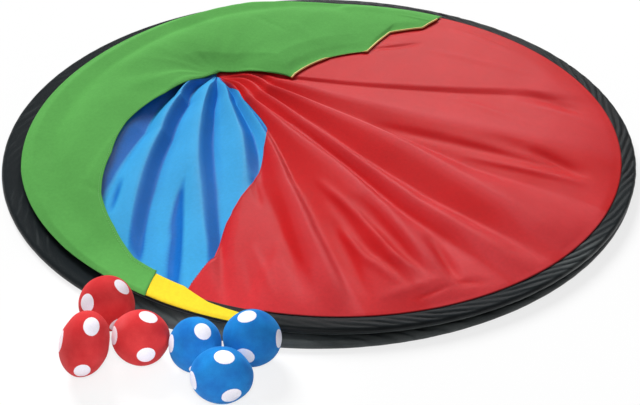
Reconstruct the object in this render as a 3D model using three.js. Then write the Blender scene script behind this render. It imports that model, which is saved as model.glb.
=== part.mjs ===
// Play parachute set: two covered spring hoops lying one on the other, joined by a cloth tube that is
// drawn together at an off-centre neck, and six soft spotted balls that lie beside it.
// Millimetres, +Z up. The set stands on z = 0, with the origin under the middle of its bounding box.

import * as THREE from 'three';

// Rims: a spring hoop in a flat cloth sleeve, the upper one smaller and lying to one side
const LOWER_RIM_DIAMETER = 840;
const UPPER_RIM_DIAMETER = 800;
const UPPER_RIM_SHIFT_X = 20;
const UPPER_RIM_SHIFT_Y = -8;
const RIM_WIDTH = 28;
const SLEEVE_WALL = 1.5;
const HOOP_WIRE_DIAMETER = 4.4;
const HOOP_WIRE_INSET = 7;
const FERRULE_WALL = 0.7;
const FERRULE_LENGTH = 24;
const CLEARANCE = 0.3;
const RIM_SEGMENTS = 52;
const WIRE_SIDES = 8;

// Cloth: the upper half of the tube fans out from the neck, the lower half lies flat under it
const CLOTH_THICKNESS = 1;
const SLIT_CLEARANCE = 0.4;
const SEWN_TAB = 6;
const NECK_OFFSET_X = -165;
const NECK_OFFSET_Y = 170;
const NECK_RADIUS = 7;
const NECK_SPREAD = 45;
const NECK_CORD_DIAMETER = 3;
const DOME_HEIGHT = 12;
const DOME_POWER = 8;
const LAYER_GAP = 1.5;

// Folds that run out from the neck, measured by their angle round it, in degrees
const BLUE_FOLD_HEIGHT = 9;
const BLUE_FOLD_SPACING = 17;
const RED_FOLD_HEIGHT = 5;
const RED_FOLD_SPACING = 10.5;
const HIDDEN_FOLD_HEIGHT = 2.5;
const FIRST_VALLEY_ANGLE = -73;
const BLUE_FOLDS_TO = -150;
const RED_FOLDS_TO = 35;
const FOLD_CHANGE = 16;
const FOLD_START_RADIUS = 90;
const FOLD_FADE_POWER = 3;

// Seam of the red and blue panels, from its angle near the neck to its angle at the rim
const SEAM_NECK_ANGLE = -62.5;
const SEAM_RIM_ANGLE = -91.2;
const SEAM_TURN_START = 0.285;
const SEAM_TURN_POWER = 1.6;
const HIDDEN_SEAM_ANGLE = 100;
const SEAM_GAP = 0.4;

// Green flap and yellow strip lie over the upper rim: angles round the upper rim's middle, in degrees,
// and the free edge as a share of the rim's clear radius, or as how far it lies inside that radius. The
// edge where they meet slants by some degrees on its way out, and the flap turns into that slant. At its
// back end the flap stops on the rim's inner edge, and further round it hangs over the rim.
const GREEN_EDGE = [
  [63.6, 0.965], [65.2, 0.868], [72.9, 0.79], [76.8, 0.604], [93, 0.53], [112, 0.415], [124, 0.52],
  [133, 0.637], [147, 0.65], [158, 0.67], [176, 0.745], [191, 0.79], [206.6, 0.876], [218, 0.915],
  [228.5, 0.965], [234.6, 0.97],
];
const YELLOW_EDGE = [[235.2, 8], [241.5, 6], [247.6, -8], [254, -14]];
const FLAP_END_SLANT = 2.3;
const FLAP_END_TURN = 16;
const FLAP_LAP = 2;
const FLAP_OVERHANG = 6;
const FLAP_SHORT_LAP = 4;
const FLAP_SHORT_TO = 86;
const FLAP_HANGS_FROM = 124;
const BILLOW_HEIGHT = 11;
const BILLOW_ANGLE = 112;
const BILLOW_SPREAD = 26;
const HEM_WIDTH = 3;
const HEM_THICKNESS = 1.6;
const HEM_END_ANGLE = 112;

// Balls: cloth covers stuffed with fibre, pressed out of round by their neighbours. Places, from the
// rim's outer edge, and sizes, as width, depth and height, are in ball diameters.
const BALL_DIAMETER = 64;
const BALL_COVER_WALL = 1.5;
const BALL_OPENING_DIAMETER = 8;
const BALL_GROUP_ANGLE = -115;
const BALLS = [
  { name: 'red_ball_back', colour: 'red', across: -0.945, out: 0.085, size: [1, 1, 1] },
  { name: 'red_ball_front', colour: 'red', across: -1.188, out: -1.079, size: [0.86, 1.12, 1.12] },
  { name: 'red_ball_right', colour: 'red', across: -0.258, out: -0.838, size: [1, 0.97, 0.97] },
  { name: 'blue_ball_left', colour: 'blue', across: 0.688, out: -1.024, size: [0.91, 0.94, 0.97] },
  { name: 'blue_ball_right', colour: 'blue', across: 1.656, out: -0.865, size: [1.02, 1, 1] },
  { name: 'blue_ball_front', colour: 'blue', across: 1.184, out: -1.826, size: [1.06, 0.875, 1.015] },
];

// Sizes that follow from the ones above
const FERRULE_BORE = HOOP_WIRE_DIAMETER + 2 * CLEARANCE;
const FERRULE_DIAMETER = FERRULE_BORE + 2 * FERRULE_WALL;
const CHANNEL_HEIGHT = FERRULE_DIAMETER + 2 * CLEARANCE;
const RIM_HEIGHT = CHANNEL_HEIGHT + 2 * SLEEVE_WALL;
const LOWER_RADIUS = LOWER_RIM_DIAMETER / 2;
const UPPER_RADIUS = UPPER_RIM_DIAMETER / 2;
const LOWER_CLEAR_RADIUS = LOWER_RADIUS - RIM_WIDTH;
const UPPER_CLEAR_RADIUS = UPPER_RADIUS - RIM_WIDTH;
const UPPER_RIM_BASE = RIM_HEIGHT + CLEARANCE;
const UPPER_RIM_TOP = UPPER_RIM_BASE + RIM_HEIGHT;
const LOWER_SLIT_TOP = RIM_HEIGHT / 2 + CLOTH_THICKNESS / 2;
const UPPER_SLIT_TOP = UPPER_RIM_BASE + LOWER_SLIT_TOP;
const LOWER_CENTRE = new THREE.Vector2(0, 0);
const UPPER_CENTRE = new THREE.Vector2(UPPER_RIM_SHIFT_X, UPPER_RIM_SHIFT_Y);
const NECK = UPPER_CENTRE.clone().add(new THREE.Vector2(NECK_OFFSET_X, NECK_OFFSET_Y));
const NECK_CORD_HEIGHT = (LOWER_SLIT_TOP + UPPER_SLIT_TOP + DOME_HEIGHT) / 2;
const NECK_CLOTH_RISE = NECK_CORD_DIAMETER / 2 + CLEARANCE;
const UPPER_NECK_TOP = NECK_CORD_HEIGHT + NECK_CLOTH_RISE + CLOTH_THICKNESS;
const LOWER_NECK_TOP = NECK_CORD_HEIGHT - NECK_CLOTH_RISE;
const FLAP_ON_RIM = UPPER_RIM_TOP + CLEARANCE + CLOTH_THICKNESS;
const FLAP_ON_LOWER_RIM = RIM_HEIGHT + LAYER_GAP + CLOTH_THICKNESS;

const finish = (color, roughness, metalness = 0) =>
  new THREE.MeshStandardMaterial({ color, roughness, metalness });

const FINISHES = {
  rim: finish(0x2b2f31, 0.7),
  steel: finish(0x9a9da0, 0.35, 1),
  red: finish(0xc92d2f, 0.8),
  blue: finish(0x2a9be0, 0.8),
  green: finish(0x5fae54, 0.8),
  yellow: finish(0xf2de45, 0.8),
  hem: finish(0xf3d68c, 0.8),
  cord: finish(0x22272b, 0.8),
  fibre: finish(0xe9e6de, 0.95),
};

const set = new THREE.Group();

function addPiece(name, geometry, material) {
  const piece = new THREE.Mesh(geometry, material);
  piece.name = name;
  set.add(piece);
  return piece;
}

const { smoothstep, lerp, clamp, radToDeg } = THREE.MathUtils;

// Point at a distance from a middle point, along an angle in degrees
function along(middle, angle, distance) {
  const turn = THREE.MathUtils.degToRad(angle);
  return new THREE.Vector2(middle.x + distance * Math.cos(turn), middle.y + distance * Math.sin(turn));
}

// Distance from a point inside a circle to that circle, along an angle in degrees
function reach(from, angle, centre, radius) {
  const way = along(LOWER_CENTRE, angle, 1);
  const offset = from.clone().sub(centre);
  const inward = offset.dot(way);
  return Math.sqrt(inward * inward + radius * radius - offset.lengthSq()) - inward;
}

// Value between the knots of an outline, along straight lines
function onKnots(knots, position) {
  const next = knots.findIndex(([knot]) => knot >= position);
  if (next === 0) return knots[0][1];
  if (next < 0) return knots[knots.length - 1][1];
  const [[from, low], [to, high]] = [knots[next - 1], knots[next]];
  return lerp(low, high, (position - from) / (to - from));
}

// Turns a closed surface so that its faces point out
function facingOut(geometry) {
  const index = geometry.getIndex();
  const position = geometry.getAttribute('position');
  const corner = [new THREE.Vector3(), new THREE.Vector3(), new THREE.Vector3()];
  let volume = 0;
  for (let face = 0; face < index.count; face += 3) {
    corner.forEach((point, k) => point.fromBufferAttribute(position, index.getX(face + k)));
    volume += corner[0].dot(corner[1].clone().cross(corner[2]));
  }
  if (volume < 0) geometry.setIndex(Array.from(index.array).reverse());
  return geometry;
}

// Closed sheet of cloth: its top face is surface(column, row), its underside lies straight below.
// A sheet that is closed round has no ends across its columns.
function clothSheet(columns, rows, surface, thickness, closedRound = false) {
  const points = [];
  const triangles = [];
  const across = closedRound ? columns : columns + 1;
  for (let column = 0; column < across; column += 1) {
    for (let row = 0; row <= rows; row += 1) {
      const top = surface(column, row);
      points.push(top.x, top.y, top.z, top.x, top.y, top.z - thickness);
    }
  }
  const corner = (column, row, under) => 2 * ((column % across) * (rows + 1) + row) + under;
  const quad = (a, b, c, d) => triangles.push(a, b, c, a, c, d);
  for (let column = 0; column < columns; column += 1) {
    const next = column + 1;
    for (let row = 0; row < rows; row += 1) {
      const above = row + 1;
      quad(corner(column, row, 0), corner(next, row, 0), corner(next, above, 0), corner(column, above, 0));
      quad(corner(column, row, 1), corner(column, above, 1), corner(next, above, 1), corner(next, row, 1));
    }
    quad(corner(column, 0, 0), corner(column, 0, 1), corner(next, 0, 1), corner(next, 0, 0));
    quad(corner(column, rows, 0), corner(next, rows, 0), corner(next, rows, 1), corner(column, rows, 1));
  }
  for (let row = 0; row < rows && !closedRound; row += 1) {
    quad(corner(0, row, 0), corner(0, row + 1, 0), corner(0, row + 1, 1), corner(0, row, 1));
    quad(
      corner(columns, row, 0), corner(columns, row, 1),
      corner(columns, row + 1, 1), corner(columns, row + 1, 0),
    );
  }
  const geometry = new THREE.BufferGeometry();
  geometry.setAttribute('position', new THREE.Float32BufferAttribute(points, 3));
  geometry.setIndex(triangles);
  return facingOut(geometry);
}

// Ring with a closed section, whose points are measured from the section's middle
function ring(section, middleRadius, segments) {
  const profile = section.map((point) => new THREE.Vector2(point.x + middleRadius, point.y));
  profile.push(profile[0].clone());
  return facingOut(new THREE.LatheGeometry(profile, segments).rotateX(Math.PI / 2));
}

function arc(middleX, radius, from, to, steps) {
  return Array.from({ length: steps + 1 }, (_, step) => {
    const turn = lerp(from, to, step / steps);
    return new THREE.Vector2(middleX + radius * Math.cos(turn), radius * Math.sin(turn));
  });
}

const roundSection = (diameter) => arc(0, diameter / 2, 0, 2 * Math.PI, WIRE_SIDES).slice(0, -1);

// Rims

// Flat tube with round edges, open along its inner edge, where the cloth goes in and is sewn
function sleeveSection() {
  const outer = RIM_HEIGHT / 2;
  const inner = CHANNEL_HEIGHT / 2;
  const flat = RIM_WIDTH / 2 - outer;
  const slit = CLOTH_THICKNESS / 2 + SLIT_CLEARANCE;
  const outerLip = Math.PI - Math.asin(slit / outer);
  const innerLip = Math.PI - Math.asin(slit / inner);
  const quarter = Math.PI / 2;
  return [
    ...arc(-flat, outer, outerLip, quarter, 2),
    ...arc(flat, outer, quarter, -quarter, 4),
    ...arc(-flat, outer, -quarter, -outerLip, 2),
    ...arc(-flat, inner, -innerLip, -quarter, 1),
    ...arc(flat, inner, -quarter, quarter, 2),
    ...arc(-flat, inner, quarter, innerLip, 1),
  ];
}

function addRim(name, outerRadius, centre, base) {
  const height = base + RIM_HEIGHT / 2;
  const wireRadius = outerRadius - HOOP_WIRE_INSET;
  const wireSection = roundSection(HOOP_WIRE_DIAMETER);
  const sleeve = ring(sleeveSection(), outerRadius - RIM_WIDTH / 2, RIM_SEGMENTS);
  addPiece(`${name}_sleeve`, sleeve, FINISHES.rim).position.set(centre.x, centre.y, height);
  const wire = ring(wireSection, wireRadius, RIM_SEGMENTS);
  addPiece(`${name}_hoop`, wire, FINISHES.steel).position.set(centre.x, centre.y, height);
  addFerrule(name, wireRadius, centre, height);
}

// Crimped tube over the hoop's two ends, on the straight stretch between two corners of the hoop
function addFerrule(name, wireRadius, centre, height) {
  const halfStep = Math.PI / RIM_SEGMENTS;
  const section = new THREE.Shape().absarc(0, 0, FERRULE_DIAMETER / 2, 0, 2 * Math.PI);
  section.holes.push(new THREE.Path().absarc(0, 0, FERRULE_BORE / 2, 0, 2 * Math.PI, true));
  const tube = new THREE.ExtrudeGeometry(section, {
    depth: FERRULE_LENGTH, bevelEnabled: false, curveSegments: 12,
  });
  tube.translate(0, 0, -FERRULE_LENGTH / 2).rotateX(Math.PI / 2);
  const place = wireRadius * Math.cos(halfStep);
  const ferrule = addPiece(`${name}_ferrule`, tube, FINISHES.steel);
  ferrule.rotation.z = halfStep;
  ferrule.position.set(centre.x + place * Math.cos(halfStep), centre.y + place * Math.sin(halfStep), height);
}

addRim('lower_rim', LOWER_RADIUS, LOWER_CENTRE, 0);
addRim('upper_rim', UPPER_RADIUS, UPPER_CENTRE, UPPER_RIM_BASE);

// Cloth tube

// Half height of the folds at an angle round the neck
function foldHeight(angle) {
  const blue = smoothstep(angle, BLUE_FOLDS_TO - FOLD_CHANGE, BLUE_FOLDS_TO);
  const red = smoothstep(angle, FIRST_VALLEY_ANGLE, FIRST_VALLEY_ANGLE + FOLD_CHANGE);
  const hidden = smoothstep(angle, RED_FOLDS_TO, RED_FOLDS_TO + FOLD_CHANGE);
  const shown = lerp(BLUE_FOLD_HEIGHT, RED_FOLD_HEIGHT, red);
  return lerp(HIDDEN_FOLD_HEIGHT, shown, blue * (1 - hidden));
}

function foldWave(angle) {
  const past = angle - FIRST_VALLEY_ANGLE;
  const spacing = past < 0 ? BLUE_FOLD_SPACING : RED_FOLD_SPACING;
  return -Math.cos((2 * Math.PI * past) / spacing);
}

// Height of the upper cloth's top face at a distance from the neck, with the folds' height times wave
function upperClothHeight(angle, distance, edge, wave) {
  const share = distance / edge;
  const dome = DOME_HEIGHT * (1 - share ** DOME_POWER);
  const drop = UPPER_SLIT_TOP + DOME_HEIGHT - UPPER_NECK_TOP;
  const neck = drop * Math.exp(-((Math.max(distance - NECK_RADIUS, 0) / NECK_SPREAD) ** 2));
  const grown = smoothstep(distance, NECK_RADIUS, FOLD_START_RADIUS);
  const fold = foldHeight(angle) * grown * (1 - share ** FOLD_FADE_POWER) * wave;
  return UPPER_SLIT_TOP + dome - neck + fold;
}

// Point of the upper cloth: the rows run from the neck to the rim's edge, and the last one into the slit
function upperClothPoint(angle, row, rows) {
  const edge = reach(NECK, angle, UPPER_CENTRE, UPPER_CLEAR_RADIUS - CLEARANCE);
  if (row === rows) {
    const tab = along(NECK, angle, reach(NECK, angle, UPPER_CENTRE, UPPER_CLEAR_RADIUS + SEWN_TAB));
    return new THREE.Vector3(tab.x, tab.y, UPPER_SLIT_TOP);
  }
  const distance = lerp(NECK_RADIUS, edge, row / (rows - 1));
  const place = along(NECK, angle, distance);
  return new THREE.Vector3(place.x, place.y, upperClothHeight(angle, distance, edge, foldWave(angle)));
}

// Angle of the sewn seam at a row: it starts along a fold and swings towards the front
function seamAngle(row, rows) {
  const turned = clamp((row / rows - SEAM_TURN_START) / (1 - SEAM_TURN_START), 0, 1);
  return lerp(SEAM_NECK_ANGLE, SEAM_RIM_ANGLE, 1 - (1 - turned) ** SEAM_TURN_POWER);
}

// Panel of the upper cloth from the seam at the front to the seam under the green flap. Each stretch is
// the angle that it ends at and its columns, and only the first one follows the seam.
function upperPanel(rows, stretches) {
  const hiddenAngle = stretches[stretches.length - 1][0];
  const way = Math.sign(hiddenAngle - SEAM_NECK_ANGLE);
  const span = reach(NECK, SEAM_RIM_ANGLE, UPPER_CENTRE, UPPER_CLEAR_RADIUS);
  const columns = stretches.reduce((sum, [, count]) => sum + count, 0);
  return clothSheet(columns, rows, (column, row) => {
    const clear = way * radToDeg(SEAM_GAP / Math.max(NECK_RADIUS, (row / rows) * span));
    const knots = [[0, seamAngle(row, rows) + clear]];
    for (const [angle, count] of stretches) {
      knots.push([knots[knots.length - 1][0] + count, angle === hiddenAngle ? angle - clear : angle]);
    }
    return upperClothPoint(onKnots(knots, column), row, rows);
  }, CLOTH_THICKNESS);
}

const PANEL_ROWS = 9;
const SEAM_MARGIN = 4;
const redStretches = [[SEAM_NECK_ANGLE + SEAM_MARGIN, 7], [RED_FOLDS_TO, 36], [HIDDEN_SEAM_ANGLE, 8]];
const blueStretches = [
  [SEAM_RIM_ANGLE - SEAM_MARGIN, 9], [BLUE_FOLDS_TO, 18], [HIDDEN_SEAM_ANGLE - 360, 12],
];
addPiece('red_panel', upperPanel(PANEL_ROWS, redStretches), FINISHES.red);
addPiece('blue_panel', upperPanel(PANEL_ROWS, blueStretches), FINISHES.blue);

// Lower half of the tube, flat inside the lower rim and drawn up to the neck
function lowerClothPoint(angle, row, rows) {
  const edge = reach(NECK, angle, LOWER_CENTRE, LOWER_CLEAR_RADIUS - CLEARANCE);
  if (row === rows) {
    const tab = along(NECK, angle, reach(NECK, angle, LOWER_CENTRE, LOWER_CLEAR_RADIUS + SEWN_TAB));
    return new THREE.Vector3(tab.x, tab.y, LOWER_SLIT_TOP);
  }
  const distance = lerp(NECK_RADIUS, edge, (row / (rows - 1)) ** 2);
  const place = along(NECK, angle, distance);
  const drawn = Math.exp(-(((distance - NECK_RADIUS) / NECK_SPREAD) ** 2));
  return new THREE.Vector3(place.x, place.y, lerp(LOWER_SLIT_TOP, LOWER_NECK_TOP, drawn));
}

const SKIRT_COLUMNS = 40;
const SKIRT_ROWS = 5;
const skirt = clothSheet(
  SKIRT_COLUMNS, SKIRT_ROWS,
  (column, row) => lowerClothPoint((360 * column) / SKIRT_COLUMNS, row, SKIRT_ROWS),
  CLOTH_THICKNESS, true,
);
addPiece('lower_skirt', skirt, FINISHES.yellow);

const NECK_CORD_SEGMENTS = 20;
const neckCord = ring(
  roundSection(NECK_CORD_DIAMETER), NECK_RADIUS + NECK_CORD_DIAMETER / 2, NECK_CORD_SEGMENTS,
);
addPiece('neck_cord', neckCord, FINISHES.cord).position.set(NECK.x, NECK.y, NECK_CORD_HEIGHT);

// Flap over the upper rim

// Height of the cloth under the flap, with every fold at its full height
function foldCrests(place) {
  const offset = place.clone().sub(NECK);
  const turn = radToDeg(offset.angle());
  const angle = turn > HIDDEN_SEAM_ANGLE ? turn - 360 : turn;
  const edge = reach(NECK, angle, UPPER_CENTRE, UPPER_CLEAR_RADIUS - CLEARANCE);
  const distance = Math.min(offset.length(), edge);
  return upperClothHeight(angle, distance, edge, 1);
}

const greenEdgeRadius = (angle) => UPPER_CLEAR_RADIUS * onKnots(GREEN_EDGE, angle);

function flapHeight(angle, radius) {
  const across = clamp((radius - greenEdgeRadius(angle)) / (2 * RIM_WIDTH), 0, 1);
  const billow = BILLOW_HEIGHT * across * Math.exp(-(((angle - BILLOW_ANGLE) / BILLOW_SPREAD) ** 2));
  const crests = foldCrests(along(UPPER_CENTRE, angle, radius)) + LAYER_GAP + CLOTH_THICKNESS;
  return Math.max(crests, FLAP_ON_RIM) + billow;
}

// Degrees that the edge between the flap and the yellow strip has turned at a radius
function endSlant(inner, radius) {
  return FLAP_END_SLANT * clamp((radius - inner) / (UPPER_RADIUS - inner), 0, 1);
}

// Rows of the flap: evenly from the free edge to the rim, over the rim, and down to the lower rim
function greenPoint(angle, row) {
  const lap = reach(UPPER_CENTRE, angle, LOWER_CENTRE, LOWER_CLEAR_RADIUS + FLAP_LAP);
  const hanging = Math.max(lap, UPPER_RADIUS + FLAP_OVERHANG);
  const overRim = [RIM_WIDTH / 2, RIM_WIDTH - CLOTH_THICKNESS, hanging - UPPER_CLEAR_RADIUS];
  const shortened = lerp(FLAP_SHORT_LAP / overRim[2], 1, smoothstep(angle, FLAP_SHORT_TO, FLAP_HANGS_FROM));
  const inner = greenEdgeRadius(angle);
  const radius = row < GREEN_INNER_ROWS
    ? lerp(inner, UPPER_CLEAR_RADIUS, row / (GREEN_INNER_ROWS - 1))
    : UPPER_CLEAR_RADIUS + overRim[row - GREEN_INNER_ROWS] * shortened;
  const end = GREEN_EDGE[GREEN_EDGE.length - 1][0];
  const slant = smoothstep(angle, end - FLAP_END_TURN, end) * endSlant(inner, radius);
  const place = along(UPPER_CENTRE, angle + slant, radius);
  const drop = clamp((radius - UPPER_RADIUS) / (hanging - UPPER_RADIUS), 0, 1);
  return new THREE.Vector3(place.x, place.y, lerp(flapHeight(angle, radius), FLAP_ON_LOWER_RIM, drop));
}

// Columns of the flap: one at each knot of its free edge, and evenly between them
const GREEN_COLUMN_STEP = 4.2;
const greenAngles = GREEN_EDGE.slice(1).flatMap(([to], knot) => {
  const from = GREEN_EDGE[knot][0];
  const steps = Math.ceil((to - from) / GREEN_COLUMN_STEP);
  return Array.from({ length: steps }, (_, step) => lerp(from, to, step / steps));
});
greenAngles.push(GREEN_EDGE[GREEN_EDGE.length - 1][0]);
const GREEN_INNER_ROWS = 6;
const green = clothSheet(
  greenAngles.length - 1, GREEN_INNER_ROWS + 2,
  (column, row) => greenPoint(greenAngles[column], row), CLOTH_THICKNESS,
);
addPiece('green_flap', green, FINISHES.green);

// Hem along the back stretch of the flap's free edge
const hemAngles = greenAngles.filter((angle) => angle <= HEM_END_ANGLE);
const hem = clothSheet(hemAngles.length - 1, 1, (column, row) => {
  const angle = hemAngles[column];
  const edge = greenEdgeRadius(angle);
  const place = along(UPPER_CENTRE, angle, edge - CLEARANCE - (1 - row) * HEM_WIDTH);
  const lift = (HEM_THICKNESS - CLOTH_THICKNESS) / 2;
  return new THREE.Vector3(place.x, place.y, flapHeight(angle, edge) + lift);
}, HEM_THICKNESS);
addPiece('flap_hem', hem, FINISHES.hem);

// Yellow strip: the flap's next panel, which narrows and ends on top of the upper rim
const YELLOW_COLUMNS = 12;
const YELLOW_ROWS = 3;
const YELLOW_FROM = YELLOW_EDGE[0][0];
const YELLOW_TO = YELLOW_EDGE[YELLOW_EDGE.length - 1][0];
const yellow = clothSheet(YELLOW_COLUMNS, YELLOW_ROWS, (column, row) => {
  const share = column / YELLOW_COLUMNS;
  const angle = lerp(YELLOW_FROM, YELLOW_TO, share);
  const inner = UPPER_CLEAR_RADIUS - onKnots(YELLOW_EDGE, angle);
  const shoulder = UPPER_RADIUS - CLOTH_THICKNESS;
  const radius = [inner, (inner + shoulder) / 2, shoulder, UPPER_RADIUS + CLOTH_THICKNESS][row];
  const place = along(UPPER_CENTRE, angle + (1 - share) * endSlant(inner, radius), radius);
  const turnedDown = row === YELLOW_ROWS ? SLEEVE_WALL : 0;
  return new THREE.Vector3(place.x, place.y, FLAP_ON_RIM - turnedDown);
}, CLOTH_THICKNESS);
addPiece('yellow_strip', yellow, FINISHES.yellow);

// Balls

const BALL_SEGMENTS = 12;
const BALL_ARC_STEPS = 8;

// Half section of a ball, from its top to the edge of its closing hole
function ballArc(radius) {
  const end = Math.PI - Math.asin(BALL_OPENING_DIAMETER / BALL_DIAMETER);
  return Array.from({ length: BALL_ARC_STEPS + 1 }, (_, step) => {
    const turn = (end * step) / BALL_ARC_STEPS;
    return new THREE.Vector2(radius * Math.sin(turn), radius * Math.cos(turn));
  });
}

// The closing hole faces the back
function addBall({ name, colour, across, out, size }) {
  const radius = BALL_DIAMETER / 2;
  const outside = ballArc(radius);
  const inside = ballArc(radius - BALL_COVER_WALL).reverse();
  const filling = ballArc(radius - BALL_COVER_WALL - CLEARANCE);
  filling.push(new THREE.Vector2(0, filling[BALL_ARC_STEPS].y));
  const anchor = along(LOWER_CENTRE, BALL_GROUP_ANGLE, LOWER_RADIUS);
  const shapes = [
    [`${name}_cover`, [...outside, ...inside], FINISHES[colour]],
    [`${name}_filling`, filling, FINISHES.fibre],
  ];
  for (const [piece, profile, material] of shapes) {
    const solid = facingOut(new THREE.LatheGeometry(profile, BALL_SEGMENTS).rotateZ(Math.PI));
    const place = [anchor.x + across * BALL_DIAMETER, anchor.y + out * BALL_DIAMETER, radius * size[2]];
    addPiece(piece, solid.scale(...size), material).position.set(...place);
  }
}

BALLS.forEach(addBall);

// Origin under the middle of the whole set
const box = new THREE.Box3().setFromObject(set);
const middle = box.getCenter(new THREE.Vector3());
set.position.set(-middle.x, -middle.y, -box.min.z);

export default set;
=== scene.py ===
# %% [markdown]
# # A play parachute in cloth
# The set is two covered spring hoops that lie one on the other, a cloth tube between them that is drawn
# together at an off-centre neck, and six spotted soft balls. The frame brings the solids with their
# sizes, places and joints. This lesson dresses them: it reads each size from the frame, so nothing has to
# be fitted.

# %% Load the frame
import math

import bpy
import numpy as np
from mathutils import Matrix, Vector


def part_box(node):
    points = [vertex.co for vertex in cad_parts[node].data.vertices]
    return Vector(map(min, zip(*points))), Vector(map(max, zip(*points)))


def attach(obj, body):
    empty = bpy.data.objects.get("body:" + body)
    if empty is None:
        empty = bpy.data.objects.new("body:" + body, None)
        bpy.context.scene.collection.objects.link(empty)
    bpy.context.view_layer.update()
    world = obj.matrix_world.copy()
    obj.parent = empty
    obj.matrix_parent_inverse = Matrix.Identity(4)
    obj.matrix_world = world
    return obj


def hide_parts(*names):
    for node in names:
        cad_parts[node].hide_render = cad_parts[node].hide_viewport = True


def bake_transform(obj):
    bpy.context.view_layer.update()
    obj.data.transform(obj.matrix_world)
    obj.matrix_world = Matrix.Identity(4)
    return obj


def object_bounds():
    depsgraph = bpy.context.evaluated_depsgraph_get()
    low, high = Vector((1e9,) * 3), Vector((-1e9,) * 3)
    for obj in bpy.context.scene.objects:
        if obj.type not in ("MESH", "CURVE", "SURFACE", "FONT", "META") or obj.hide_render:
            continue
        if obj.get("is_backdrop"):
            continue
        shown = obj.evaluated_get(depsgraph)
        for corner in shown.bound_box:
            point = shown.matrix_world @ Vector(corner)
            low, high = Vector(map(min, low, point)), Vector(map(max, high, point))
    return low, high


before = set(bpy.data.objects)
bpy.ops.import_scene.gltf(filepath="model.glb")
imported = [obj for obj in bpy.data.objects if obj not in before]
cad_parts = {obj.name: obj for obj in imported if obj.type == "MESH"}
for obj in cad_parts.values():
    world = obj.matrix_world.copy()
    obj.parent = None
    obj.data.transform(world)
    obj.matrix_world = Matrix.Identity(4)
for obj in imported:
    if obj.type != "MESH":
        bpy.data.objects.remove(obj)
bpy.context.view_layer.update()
scene = bpy.context.scene
scene.view_settings.view_transform = "Standard"
MM = 0.001

# %% [markdown]
# ## Camera
# The camera could be placed by eye, but both rims are circles, and a circle's picture tells where the
# camera stood. The focal length in pixels, the distance and the height angle below make the rims'
# ellipses fit.

# %% Camera
PHOTO_WIDTH = 640
SENSOR_WIDTH = 36
FOCAL_PIXELS = 1487.2
CAMERA_DISTANCE = 1.9
CAMERA_HEIGHT_ANGLE = math.radians(34.81)
AIM_FROM_RIM_CENTRE = Vector((0.0025, -0.1295, 0))

bpy.ops.object.camera_add()
camera = bpy.context.active_object
camera.data.sensor_width = SENSOR_WIDTH
camera.data.lens = FOCAL_PIXELS * SENSOR_WIDTH / PHOTO_WIDTH
towards_camera = Vector((0, -math.cos(CAMERA_HEIGHT_ANGLE), math.sin(CAMERA_HEIGHT_ANGLE)))
rim_low, rim_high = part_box("lower_rim_sleeve")
rim_centre = Vector(((rim_low.x + rim_high.x) / 2, (rim_low.y + rim_high.y) / 2, 0))
camera.location = rim_centre + AIM_FROM_RIM_CENTRE + CAMERA_DISTANCE * towards_camera
camera.rotation_euler = (math.pi / 2 - CAMERA_HEIGHT_ANGLE, 0, 0)
scene.camera = camera
print("camera:", round(camera.data.lens, 2), "mm lens at", [round(x, 3) for x in camera.location])

# %% [markdown]
# ## A short way to write finishes
# A finish is a graph of shader nodes. Wired by hand, each node takes several lines, so a small class
# holds a material and gives each kind of node that is needed here a short name. Colours are written from
# 0 to 255, as a picture has them.

# %% A short way to write finishes
WAVE_PERIOD = 2 * math.pi / 20


def colour(red, green, blue):
    """A colour written in the 0 to 255 of a picture, as the linear colour that a shader takes"""
    share = np.array([red, green, blue]) / 255
    linear = np.where(share <= 0.04045, share / 12.92, ((share + 0.055) / 1.055) ** 2.4)
    return (*linear.tolist(), 1)


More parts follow.
